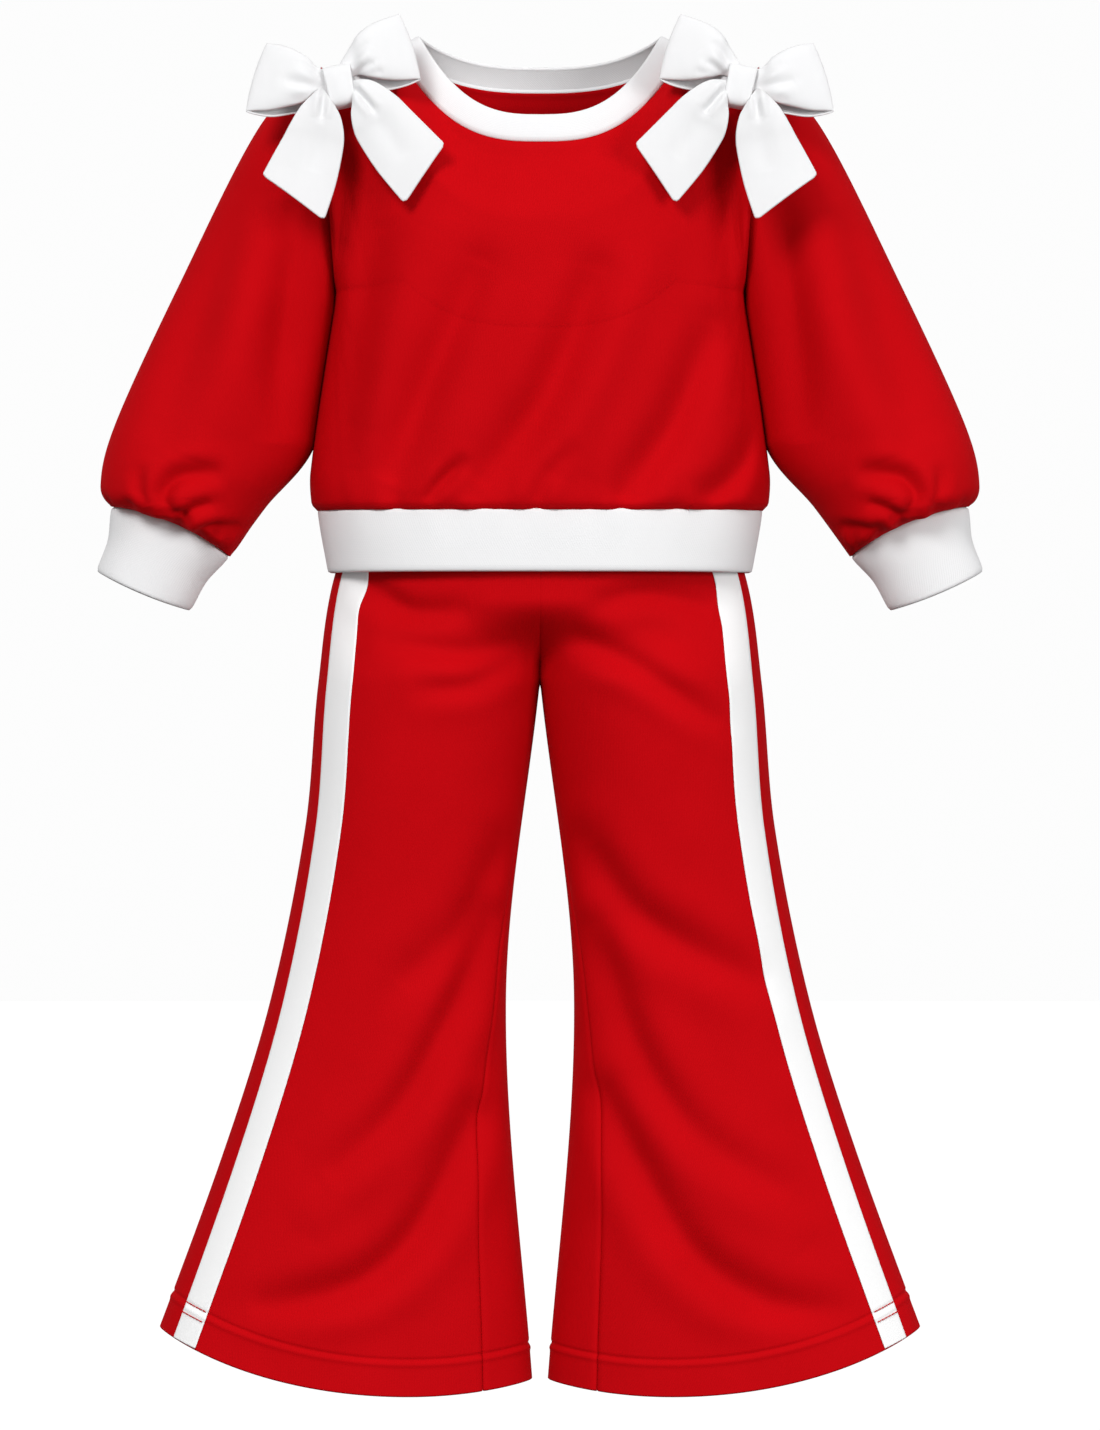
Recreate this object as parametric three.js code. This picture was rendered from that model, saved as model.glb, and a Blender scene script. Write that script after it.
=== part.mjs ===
// A child's two-piece cheer uniform: a pullover with balloon sleeves and shoulder bows, and flared trousers.
// Millimetres. +Z is up, the front faces -Y, +X is the wearer's left. Heights below are measured from the lowest
// point of the leg hems; the finished group is then moved so that its origin is the middle of the waist opening.
// Every panel, band, bow part and stripe is its own closed solid, a sheet of cloth with its real thickness.
import * as THREE from "three";

// Cloth
const KNIT = 1.6; // body, sleeve and leg knit
const RIB = 2.4; // doubled white knit of the bands and cuffs
const RIBBON = 1.4; // doubled bow cloth
const STRIPE_CLOTH = 0.9;
const SEAM_GAP = 0.3; // between pieces that are sewn edge to edge
const LAY_GAP = 0.3; // between a piece and the one it lies on
const CURVE_GAP = 1.2; // between curved seams, whose facets don't line up

// Pullover
const HEM_BAND = { bottom: 540.5, height: 41.5, bottomHalfWidth: 140.5, topHalfWidth: 147, halfDepth: 77 };
const BODY = { underarm: 725, chestHalfWidth: 135, bulgeHalfWidth: 151.5, bulgeRise: 24, halfDepth: 80 };
const CHEST_HALF_DEPTH = 68;
const BODY_SQUARENESS = 2.4; // exponent of the body's oval
const SHOULDER = { tipX: 145, tipZ: 870, armholeHalfDepth: 40, roundness: 55 };
const NECK = { halfWidth: 95, frontZ: 826, backZ: 856, sideZ: 886, frontDepth: 52, backDepth: 44, curve: 2.8 };
const NECKBAND = { inset: 15, frontRise: 17, backRise: 16.5, sideRise: 8, frontDepthInset: 5, backDepthInset: 4 };
const SLEEVE = { length: 312, upperHalfDepth: 48, balloonHalfDepth: 56, bodyEase: 1.5 };
const CUFF = { topHalfWidth: 42.5, bottomHalfWidth: 33.5, topHalfDepth: 31, bottomHalfDepth: 27, height: 40 };
const CUFF_TILT = THREE.MathUtils.degToRad(23);

// Bow, in its own frame: a points away from the neck, b up, forward out of the chest
const BOW = { x: 135, z: 860, tilt: THREE.MathUtils.degToRad(14), standOff: 2 };
const KNOT = { halfHeight: 12, halfDepth: 7, halfWidth: 9, wall: 2, squareness: 3, lean: THREE.MathUtils.degToRad(10) };
const LOOP = { neckClearance: 2.5, neckHalfDepth: 2.4, puff: 8.5, start: 1.2 };
const OUTER_LOOP = { length: 53, endHalfWidth: 24, angle: THREE.MathUtils.degToRad(6) };
const INNER_LOOP = { length: 54, endHalfWidth: 23, angle: THREE.MathUtils.degToRad(150) };
const TAIL = { knotClearance: 1.5, arch: 6 };
const TAIL_TOP = -(KNOT.halfHeight + TAIL.knotClearance);
const TACK = { radius: 1.2, sides: 8, drop: 8 };

// Trousers
const WAIST = { top: 655, casing: 24, halfWidth: 98, halfDepth: 65 };
const ELASTIC = { width: 19, thickness: 1.2, clearance: 0.4 };
const HIP_EASE = 3.2; // between the trousers and the pullover's hem band
const SEAT_HALF_DEPTH = 69;
const CROTCH = { z: 466, curveRise: 56 };
const THIGH_HALF_WIDTH = 146.5;
const KNEE = { z: 258, outer: 178, inner: 22.4, halfDepth: 52 };
const LEG_HEM = { outer: 267, inner: 4.5, halfDepth: 62, sideRise: 43, inseamRise: 8.6, lowest: -0.41 };
const INSEAM_TURN = THREE.MathUtils.degToRad(41); // how far the inseam sits forward of the leg's inner edge
const STRIPE = { width: 16.5, waistInset: 5, hemInset: 13 };

// Facets across the neck and across each shoulder of a body panel
const NECK_COLUMNS = 12;
const SIDE_COLUMNS = 3;

const { clamp, lerp, smoothstep } = THREE.MathUtils;
const bodyBottom = HEM_BAND.bottom + HEM_BAND.height + SEAM_GAP;

// A smooth value along a height, through [height, value] pairs in rising order.
function profile(pairs) {
  const slope = (i) => {
    const [below, above] = [pairs[Math.max(i - 1, 0)], pairs[Math.min(i + 1, pairs.length - 1)]];
    return (above[1] - below[1]) / (above[0] - below[0]);
  };
  return (height) => {
    let i = 0;
    while (i < pairs.length - 2 && height > pairs[i + 1][0]) i++;
    const span = pairs[i + 1][0] - pairs[i][0];
    const t = clamp((height - pairs[i][0]) / span, 0, 1);
    const ease = t * t * (3 - 2 * t);
    const lift = t * (1 - t) * ((1 - t) * slope(i) - t * slope(i + 1)) * span;
    return lerp(pairs[i][1], pairs[i + 1][1], ease) + lift;
  };
}

// A BufferGeometry from a list of points and a list of quads, each quad split in two.
function quadGeometry(points, quads) {
  const index = quads.flatMap(([a, b, c, d]) => [a, b, c, a, c, d]);
  const geometry = new THREE.BufferGeometry().setFromPoints(points);
  geometry.setIndex(index);
  geometry.computeVertexNormals();
  return geometry;
}

// A sheet of cloth as one closed solid. face(u, v) is its outer face, with du x dv pointing out of the cloth;
// a closed sheet joins u = 1 to u = 0, and hold() keeps a point on its own side of a seam.
function cloth(face, columns, rows, thickness, { closed = false, hold = (point) => point } = {}) {
  const across = closed ? columns : columns + 1;
  const step = 1e-3;
  const slopeAlong = (u, v, du, dv) => {
    const [u0, u1] = closed ? [u - du, u + du] : [Math.max(u - du, 0), Math.min(u + du, 1)];
    return face(u1, Math.min(v + dv, 1)).sub(face(u0, Math.max(v - dv, 0)));
  };
  const outer = [];
  const inner = [];
  for (let j = 0; j <= rows; j++) {
    for (let i = 0; i < across; i++) {
      const [u, v] = [i / columns, j / rows];
      const out = slopeAlong(u, v, step, 0).cross(slopeAlong(u, v, 0, step)).normalize();
      outer.push(hold(face(u, v)));
      inner.push(hold(face(u, v).addScaledVector(out, -thickness)));
    }
  }
  const at = (i, j) => j * across + (i % across);
  const under = (i, j) => outer.length + at(i, j);
  const quads = [];
  for (let j = 0; j < rows; j++) {
    for (let i = 0; i < columns; i++) {
      quads.push([at(i, j), at(i + 1, j), at(i + 1, j + 1), at(i, j + 1)]);
      quads.push([under(i, j), under(i, j + 1), under(i + 1, j + 1), under(i + 1, j)]);
    }
  }
  for (let i = 0; i < columns; i++) {
    quads.push([at(i + 1, 0), at(i, 0), under(i, 0), under(i + 1, 0)]);
    quads.push([at(i, rows), at(i + 1, rows), under(i + 1, rows), under(i, rows)]);
  }
  for (let j = 0; j < rows && !closed; j++) {
    quads.push([at(0, j), at(0, j + 1), under(0, j + 1), under(0, j)]);
    quads.push([at(columns, j + 1), at(columns, j), under(columns, j), under(columns, j + 1)]);
  }
  return quadGeometry([...outer, ...inner], quads);
}

// The same piece for the other side of the wearer.
function mirrored(geometry) {
  const twin = geometry.clone().scale(-1, 1, 1);
  const index = Array.from(twin.index.array);
  for (let i = 0; i < index.length; i += 3) [index[i], index[i + 1]] = [index[i + 1], index[i]];
  twin.setIndex(index);
  twin.computeVertexNormals();
  return twin;
}

// An upright oval ring of cloth between two heights; halfWidth and halfDepth are functions of the height.
function ovalRing(bottom, top, halfWidth, halfDepth, thickness, columns, rows, squareness = 2) {
  const power = 2 / squareness;
  return cloth((u, v) => {
    const turn = 2 * Math.PI * u;
    const z = lerp(bottom, top, v);
    const x = halfWidth(z) * Math.sign(Math.sin(turn)) * Math.abs(Math.sin(turn)) ** power;
    const y = -halfDepth(z) * Math.sign(Math.cos(turn)) * Math.abs(Math.cos(turn)) ** power;
    return new THREE.Vector3(x, y, z);
  }, columns, rows, thickness, { closed: true });
}

// ---- Pullover body

const sideHalfWidth = profile([
  [bodyBottom, HEM_BAND.topHalfWidth],
  [bodyBottom + BODY.bulgeRise, BODY.bulgeHalfWidth],
  [BODY.underarm, BODY.chestHalfWidth],
]);
const armholeX = (z) => {
  const rise = clamp((z - BODY.underarm) / (SHOULDER.tipZ - BODY.underarm), 0, 1);
  return lerp(BODY.chestHalfWidth, SHOULDER.tipX, rise);
};
const panelHalfWidth = (z) => (z < BODY.underarm ? sideHalfWidth(z) : armholeX(z));
const bodyHalfDepth = profile([
  [bodyBottom, HEM_BAND.halfDepth],
  [bodyBottom + BODY.bulgeRise, BODY.halfDepth],
  [BODY.underarm, BODY.halfDepth - 2],
  [NECK.frontZ, CHEST_HALF_DEPTH],
  [NECK.sideZ, CHEST_HALF_DEPTH - 12],
]);
const armholeMiddle = (BODY.underarm + SHOULDER.tipZ) / 2;
const armholeHalfHeight = (SHOULDER.tipZ - BODY.underarm) / 2;
const armholeDepth = (z) => {
  const rise = clamp((z - armholeMiddle) / armholeHalfHeight, -1, 1);
  return SHOULDER.armholeHalfDepth * Math.sqrt(1 - rise * rise);
};

// The neck seam at a share of its half width: height and depth, front or back.
function neckSeam(share, front) {
  const middle = front ? NECK.frontZ : NECK.backZ;
  const depth = (front ? NECK.frontDepth : NECK.backDepth) * Math.sqrt(Math.max(1 - share * share, 0));
  return { z: middle + (NECK.sideZ - middle) * Math.abs(share) ** NECK.curve, depth };
}

// Where a column of the body panel ends: on the neck seam or on the shoulder seam.
function panelTop(x, front) {
  const out = Math.abs(x);
  if (out < NECK.halfWidth) return neckSeam(x / NECK.halfWidth, front);
  const along = (out - NECK.halfWidth) / (SHOULDER.tipX - NECK.halfWidth);
  return { z: lerp(NECK.sideZ, SHOULDER.tipZ, Math.min(along, 1)), depth: 0 };
}

// Depth of the body's cloth from the middle plane, for a share of the half width and a height.
function bodyDepth(share, z, front) {
  const top = panelTop(share * SHOULDER.tipX, front);
  const near = clamp((z - top.z + SHOULDER.roundness) / SHOULDER.roundness, 0, 1);
  const oval = Math.max(1 - Math.abs(share) ** BODY_SQUARENESS, 0) ** (1 / BODY_SQUARENESS);
  const rounded = lerp(top.depth, bodyHalfDepth(z) * oval, Math.sqrt(1 - near * near));
  return armholeDepth(z) * share ** 4 + rounded;
}

function bodyPanel(front) {
  const side = front ? -1 : 1;
    return cloth((u, v) => {
    const turn = Math.PI * (u - 0.5);
    const share = -side * Math.sign(turn) * Math.abs(Math.sin(turn)) ** (2 / BODY_SQUARENESS);
    const top = panelTop(share * SHOULDER.tipX, front);
    const z = lerp(bodyBottom, top.z, v);
    return new THREE.Vector3(share * panelHalfWidth(z), side * bodyDepth(share, z, front), z);
  }, NECK_COLUMNS + 2 * SIDE_COLUMNS, 12, KNIT, {
    hold: (point) => point.setY(side * Math.max(side * point.y, SEAM_GAP / 2)),
  });
}

function hemBand() {
  const top = HEM_BAND.bottom + HEM_BAND.height;
  const halfWidth = profile([[HEM_BAND.bottom, HEM_BAND.bottomHalfWidth], [top, HEM_BAND.topHalfWidth]]);
  return ovalRing(HEM_BAND.bottom, top, halfWidth, () => HEM_BAND.halfDepth, RIB, 32, 1, BODY_SQUARENESS);
}

function neckband() {
  return cloth((u, v) => {
    const turn = 2 * Math.PI * u;
    const [share, forward] = [Math.sin(turn), Math.cos(turn)];
    const front = forward >= 0;
    const seam = neckSeam(share, front);
    const middle = front ? NECK.frontZ + NECKBAND.frontRise : NECK.backZ + NECKBAND.backRise;
    const edgeZ = middle + (NECK.sideZ + NECKBAND.sideRise - middle) * Math.abs(share) ** NECK.curve;
    const edgeDepth = front ? NECK.frontDepth - NECKBAND.frontDepthInset : NECK.backDepth - NECKBAND.backDepthInset;
    const low = new THREE.Vector3(share * NECK.halfWidth, front ? -seam.depth : seam.depth, seam.z);
    const high = new THREE.Vector3(share * (NECK.halfWidth - NECKBAND.inset), -forward * edgeDepth, edgeZ);
    const sewn = CURVE_GAP / low.distanceTo(high);
    return low.lerp(high, lerp(sewn, 1, v));
  }, 2 * NECK_COLUMNS, 1, RIB, { closed: true });
}

// ---- Sleeve and cuff

const cuffAxis = new THREE.Vector3(Math.sin(CUFF_TILT), 0, -Math.cos(CUFF_TILT));
const cuffAcross = new THREE.Vector3(Math.cos(CUFF_TILT), 0, Math.sin(CUFF_TILT));
const cuffTop = new THREE.Vector3(SHOULDER.tipX, 0, SHOULDER.tipZ)
  .add(new THREE.Vector3(0.3186, 0, -0.976).multiplyScalar(SLEEVE.length));

// The sleeve's outer and inner lines, seen from the front, as shares of the way from shoulder to cuff.
const sleeveShare = (x, z) => [x * SLEEVE.length, z * SLEEVE.length];
function sleeveLines() {
  const tip = new THREE.Vector2(SHOULDER.tipX + CURVE_GAP, SHOULDER.tipZ);
  const outerPoints = [[0, 0], sleeveShare(0.13, -0.125), sleeveShare(0.3, -0.455), sleeveShare(0.435, -0.745),
    sleeveShare(0.467, -0.875)].map(([x, z]) => tip.clone().add(new THREE.Vector2(x, z)));
  const half = cuffAcross.clone().multiplyScalar(CUFF.topHalfWidth);
  const outerCuff = cuffTop.clone().add(half);
  const innerCuff = cuffTop.clone().sub(half);
  outerPoints.push(new THREE.Vector2(outerCuff.x, outerCuff.z));
  const leave = bodyBottom + BODY.bulgeRise;
  const innerPoints = [BODY.underarm, (BODY.underarm * 2 + leave) / 3, leave + 8]
    .map((z) => new THREE.Vector2(sideHalfWidth(z) + SLEEVE.bodyEase, z));
  innerPoints.push(new THREE.Vector2(lerp(innerPoints[2].x, innerCuff.x, 0.62), lerp(leave, innerCuff.z, 0.62)));
  innerPoints.push(new THREE.Vector2(innerCuff.x, innerCuff.z));
  return [new THREE.SplineCurve(outerPoints), new THREE.SplineCurve(innerPoints)];
}

function sleeve() {
  const [outerLine, innerLine] = sleeveLines();
  const halfDepth = profile([
    [0, SHOULDER.armholeHalfDepth],
    [0.3, SLEEVE.upperHalfDepth],
    [0.8, SLEEVE.balloonHalfDepth],
    [0.93, lerp(SLEEVE.balloonHalfDepth, CUFF.topHalfDepth, 0.3)],
    [1, CUFF.topHalfDepth],
  ]);
  return cloth((u, v) => {
    const turn = 2 * Math.PI * u;
    const [outer, inner] = [outerLine.getPoint(v), innerLine.getPoint(v)];
    const innerX = Math.max(inner.x, panelHalfWidth(inner.y) + SLEEVE.bodyEase);
    const reach = Math.cos(turn);
    const x = (outer.x + innerX) / 2 + ((outer.x - innerX) / 2) * reach;
    const z = (outer.y + inner.y) / 2 + ((outer.y - inner.y) / 2) * reach;
    const point = new THREE.Vector3(x, -halfDepth(v) * Math.sin(turn), z);
    return point.addScaledVector(cuffAxis, -SEAM_GAP * v);
  }, 20, 12, KNIT, { closed: true });
}

function cuff() {
  const halfWidth = profile([[0, CUFF.topHalfWidth], [0.5, CUFF.bottomHalfWidth + 2], [1, CUFF.bottomHalfWidth]]);
  return cloth((u, v) => {
    const turn = 2 * Math.PI * u;
    const depth = lerp(CUFF.topHalfDepth, CUFF.bottomHalfDepth, v);
    return cuffTop.clone()
      .addScaledVector(cuffAxis, lerp(SEAM_GAP, CUFF.height, v))
      .addScaledVector(cuffAcross, halfWidth(v) * Math.cos(turn))
      .setY(-depth * Math.sin(turn));
  }, 20, 2, RIB, { closed: true });
}

// ---- Bow, built in its own frame (x = a, z = b, -y = forward) and turned into place by its group

function bowKnot() {
  const power = 2 / KNOT.squareness;
  return cloth((u, v) => {
    const turn = 2 * Math.PI * u;
    const [up, forward] = [Math.cos(turn), Math.sin(turn)];
    const b = KNOT.halfHeight * Math.sign(up) * Math.abs(up) ** power;
    const depth = KNOT.halfDepth * Math.sign(forward) * Math.abs(forward) ** power;
    return new THREE.Vector3(lerp(-KNOT.halfWidth, KNOT.halfWidth, v) + b * Math.tan(KNOT.lean), -depth, b);
  }, 12, 2, KNOT.wall, { closed: true });
}

// A loop of ribbon that leaves the knot, folds over at its end and comes back behind.
function bowLoop({ length, endHalfWidth, angle }) {
  const outwards = Math.cos(angle) > 0 ? 1 : -1;
  const away = new THREE.Vector2(Math.cos(angle), Math.sin(angle));
  const neck = KNOT.halfHeight - KNOT.wall - LOOP.neckClearance;
  const mouth = (KNOT.halfWidth + LOOP.neckClearance) / length;
  const halfWidth = (reach) => lerp(neck, endHalfWidth, smoothstep(reach, mouth, 0.8));
  return cloth((u, v) => {
    const turn = Math.PI * u;
    const reach = Math.sin(turn) ** 0.75;
    const across = outwards * (2 * v - 1) * halfWidth(reach);
    const along = lerp(LOOP.start, length, reach);
    const fullness = smoothstep(reach, mouth, 0.8);
    const depth = Math.cos(turn) * lerp(LOOP.neckHalfDepth, LOOP.puff, fullness);
    const settle = clamp((along - KNOT.halfWidth) / (length - KNOT.halfWidth), 0, 1);
    const [ax, az] = [lerp(outwards, away.x, settle), away.y * settle];
    return new THREE.Vector3(ax * along - az * across * outwards, -depth, az * along + across);
  }, 14, 4, RIBBON);
}

// A tail: both long edges are smooth lines from under the knot to the slanted end, and it arches off the chest.
const tailArch = (t) => TAIL.arch * Math.sin(Math.PI * t ** 0.6);
function bowTail(leftPoints, rightPoints) {
  const [left, right] = [leftPoints, rightPoints].map(
    (points) => new THREE.QuadraticBezierCurve(...points.map(([a, b]) => new THREE.Vector2(a, b))));
  return cloth((u, v) => {
    const point = left.getPoint(1 - v).lerp(right.getPoint(1 - v), u);
    return new THREE.Vector3(point.x, -tailArch(1 - v), point.y);
  }, 3, 6, RIBBON);
}
const outerTail = () => bowTail(
  [[1.5, TAIL_TOP], [-9, -46], [9.9, -87.8]],
  [[8, TAIL_TOP], [27, -26], [48.5, -59.7]]);
const innerTail = () => bowTail(
  [[-8, TAIL_TOP], [-36, -16], [-71, -38]],
  [[-1.5, TAIL_TOP], [-12, -38], [-44, -76.6]]);

// How far the bow's plane stands in front of the shoulder tip, so that knot and tails clear the cloth.
// Each point is a place on the bow: a, b and how far forward of the plane its back lies.
function bowForward() {
  const points = [[0, 0, -KNOT.halfDepth], [0, -KNOT.halfHeight, -KNOT.halfDepth], [-30, -30, tailArch(0.25)],
    [-20, -45, tailArch(0.5)], [10, -40, tailArch(0.4)], [-44, -76.6, 0], [-71, -38, 0],
    [-20, -2, -LOOP.puff / 2], [-30, -4, -LOOP.puff], [-45, 5, -LOOP.puff], [30, -14, -LOOP.puff]];
  const needs = points.map(([a, b, forward]) => {
    const [x, z] = [BOW.x + a, BOW.z + b * Math.cos(BOW.tilt)];
    return bodyDepth(Math.min(x / panelHalfWidth(z), 1), z, true) + b * Math.sin(BOW.tilt) - forward;
  });
  return Math.max(...needs) + RIBBON + BOW.standOff;
}

// The thread bar that ties the knot to the shoulder, short of both.
function bowTack(forward) {
  const reaches = (length) => {
    const back = KNOT.halfDepth + length;
    const z = BOW.z - back * Math.sin(BOW.tilt) - TACK.drop * Math.cos(BOW.tilt);
    const out = forward - back * Math.cos(BOW.tilt) + TACK.drop * Math.sin(BOW.tilt);
    return out < bodyDepth(BOW.x / panelHalfWidth(z), z, true) + CURVE_GAP;
  };
  let length = LAY_GAP;
  while (!reaches(length + TACK.radius)) length += LAY_GAP;
  const bar = new THREE.CylinderGeometry(TACK.radius, TACK.radius, length, TACK.sides);
  return bar.translate(0, KNOT.halfDepth + LAY_GAP + length / 2, -TACK.drop);
}

// ---- Trousers

const hipHalfWidth = HEM_BAND.bottomHalfWidth - RIB - HIP_EASE;
const legOuter = profile([
  [0, LEG_HEM.outer],
  [KNEE.z * 0.6, lerp(LEG_HEM.outer, KNEE.outer, 0.64)],
  [KNEE.z, KNEE.outer],
  [lerp(KNEE.z, CROTCH.z, 0.55), lerp(KNEE.outer, THIGH_HALF_WIDTH, 0.73)],
  [CROTCH.z, THIGH_HALF_WIDTH],
  [HEM_BAND.bottom, hipHalfWidth],
  [WAIST.top - WAIST.casing, WAIST.halfWidth],
]);
const legInner = profile([[0, LEG_HEM.inner], [KNEE.z, KNEE.inner], [CROTCH.z, SEAM_GAP / 2]]);
const legHalfDepth = profile([
  [0, LEG_HEM.halfDepth],
  [KNEE.z, KNEE.halfDepth],
  [CROTCH.z, SEAT_HALF_DEPTH],
  [HEM_BAND.bottom, SEAT_HALF_DEPTH],
  [WAIST.top - WAIST.casing, WAIST.halfDepth],
]);
const inseamTurn = (z) => INSEAM_TURN * smoothstep(CROTCH.z - z, 0, CROTCH.z * 0.75);

// Height of the curved hem for the cosine of the angle round the leg, 1 at the side and -1 at the inseam.
function hemHeight(cosine) {
  const away = cosine - LEG_HEM.lowest;
  const [rise, reach] = away > 0 ? [LEG_HEM.sideRise, 1 - LEG_HEM.lowest] : [LEG_HEM.inseamRise, 1 + LEG_HEM.lowest];
  return rise * (away / reach) ** 2;
}

// A point of the trousers' cloth on the wearer's left: turn is 0 at the side and pi at the inner edge.
// Above the crotch curve the section is a quarter of the seat's oval, below it a leg's own oval.
function legPoint(turn, z) {
  const [outer, inner, depth] = [legOuter(z), legInner(z), legHalfDepth(z)];
  const leg = new THREE.Vector2((outer + inner) / 2 + ((outer - inner) / 2) * Math.cos(turn), depth * Math.sin(turn));
  const quarter = turn <= Math.PI ? turn / 2 : Math.PI - turn / 2;
  const seat = new THREE.Vector2(outer * Math.cos(quarter), depth * Math.sin(quarter) * Math.sign(Math.PI - turn));
  const split = smoothstep(CROTCH.z + CROTCH.curveRise - z, 0, CROTCH.curveRise);
  const [x, forward] = [lerp(seat.x, leg.x, split), lerp(seat.y, leg.y, split)];
  return new THREE.Vector3(Math.max(x, SEAM_GAP / 2), -forward, z);
}

function legPanel(front) {
  const top = WAIST.top - WAIST.casing - SEAM_GAP;
  const side = front ? -1 : 1;
  const sewn = SEAM_GAP / KNEE.halfDepth / 2;
  return cloth((u, v) => {
    const seamTurn = (z) => Math.PI - inseamTurn(z);
    const guess = front ? u * seamTurn(0) : lerp(seamTurn(0), 2 * Math.PI, u);
    const z = lerp(top, hemHeight(Math.cos(guess)), v);
    const turn = front
      ? lerp(0, seamTurn(z) - sewn, u)
      : lerp(seamTurn(z) + sewn, 2 * Math.PI, u);
    return legPoint(turn, z);
  }, front ? 8 : 10, 14, KNIT, {
    hold: (point) => {
      const onInnerSide = point.x < (legOuter(point.z) + legInner(point.z)) / 2;
      const y = onInnerSide ? point.y : side * Math.max(side * point.y, SEAM_GAP / 2);
      return new THREE.Vector3(Math.max(point.x, SEAM_GAP / 2), y, point.z);
    },
  });
}

// The white stripe lies on the front panel, a little in from the side seam.
function legStripe() {
  const top = WAIST.top - WAIST.casing - SEAM_GAP;
  const turnAt = (x, z) => {
    let [low, high] = [0, Math.PI / 2];
    for (let i = 0; i < 30; i++) {
      const middle = (low + high) / 2;
      if (legPoint(middle, z).x > x) low = middle;
      else high = middle;
    }
    return low;
  };
  const lift = STRIPE_CLOTH + 2 * LAY_GAP;
  return cloth((u, v) => {
    const inset = lerp(STRIPE.waistInset, STRIPE.hemInset, v);
    const across = inset + u * STRIPE.width;
    const z = lerp(top, hemHeight(1 - (2 * across) / LEG_HEM.outer), v);
    const turn = turnAt(legOuter(z) - across, z);
    const [here, ahead] = [legPoint(turn, z), legPoint(turn + 1e-3, z)];
    const along = ahead.sub(here).normalize();
    return here.add(new THREE.Vector3(-along.y, along.x, 0).multiplyScalar(lift));
  }, 3, 14, STRIPE_CLOTH);
}

const casingDepth = 2 * KNIT + ELASTIC.thickness + 2 * ELASTIC.clearance;

// The casing: a band of the knit folded over the elastic, open along its lower inside edge.
function waistbandCasing() {
  const columns = 28;
  const [low, high] = [WAIST.top - WAIST.casing, WAIST.top];
  const fold = [[0, low], [0, high], [casingDepth, high], [casingDepth, low],
    [casingDepth - KNIT, low], [casingDepth - KNIT, high - KNIT], [KNIT, high - KNIT], [KNIT, low]];
  const points = [];
  const quads = [];
  const at = (i, k) => (i % columns) * fold.length + (k % fold.length);
  for (let i = 0; i < columns; i++) {
    const turn = (2 * Math.PI * i) / columns;
    fold.forEach(([inwards, z], k) => {
      points.push(new THREE.Vector3(
        (WAIST.halfWidth - inwards) * Math.sin(turn), -(WAIST.halfDepth - inwards) * Math.cos(turn), z));
      quads.push([at(i, k), at(i + 1, k), at(i + 1, k + 1), at(i, k + 1)]);
    });
  }
  return quadGeometry(points, quads);
}

function waistElastic() {
  const inwards = KNIT + ELASTIC.clearance;
  const high = WAIST.top - KNIT - ELASTIC.clearance;
  const [halfWidth, halfDepth] = [WAIST.halfWidth - inwards, WAIST.halfDepth - inwards];
  return ovalRing(high - ELASTIC.width, high, () => halfWidth, () => halfDepth, ELASTIC.thickness, 28, 1);
}

// ---- Materials and assembly

const red = new THREE.MeshStandardMaterial({ color: "#c40812", roughness: 0.85, metalness: 0 });
const white = new THREE.MeshStandardMaterial({ color: "#f3f3f3", roughness: 0.85, metalness: 0 });
const elastic = new THREE.MeshStandardMaterial({ color: "#e6e6e2", roughness: 0.9, metalness: 0 });

function piece(name, geometry, material) {
  const mesh = new THREE.Mesh(geometry, material);
  mesh.name = name;
  return mesh;
}
// One piece for each side of the wearer; the geometry is built for the left.
function pair(name, geometry, material) {
  return [piece(`left_${name}`, geometry, material), piece(`right_${name}`, mirrored(geometry), material)];
}

function bows() {
  const forward = bowForward();
  const parts = [
    pair("bow_knot", bowKnot(), white),
    pair("bow_outer_loop", bowLoop(OUTER_LOOP), white),
    pair("bow_inner_loop", bowLoop(INNER_LOOP), white),
    pair("bow_outer_tail", outerTail(), white),
    pair("bow_inner_tail", innerTail(), white),
    pair("bow_tack", bowTack(forward), white),
  ];
  return [1, -1].map((side, index) => {
    const bow = new THREE.Group();
    bow.position.set(side * BOW.x, -forward, BOW.z);
    bow.rotation.x = -BOW.tilt;
    parts.forEach((both) => bow.add(both[index]));
    return bow;
  });
}

function pullover() {
  const group = new THREE.Group();
  group.add(piece("front_body_panel", bodyPanel(true), red), piece("back_body_panel", bodyPanel(false), red));
  group.add(piece("neckband", neckband(), white), piece("hem_band", hemBand(), white));
  group.add(...pair("sleeve", sleeve(), red), ...pair("cuff", cuff(), white), ...bows());
  return group;
}

function trousers() {
  const group = new THREE.Group();
  group.add(...pair("front_leg_panel", legPanel(true), red), ...pair("back_leg_panel", legPanel(false), red));
  group.add(...pair("leg_stripe", legStripe(), white));
  group.add(piece("waistband_casing", waistbandCasing(), red), piece("waist_elastic", waistElastic(), elastic));
  return group;
}

const uniform = new THREE.Group();
uniform.add(pullover(), trousers());
uniform.position.z = -WAIST.top;
export default uniform;
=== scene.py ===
import math

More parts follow.
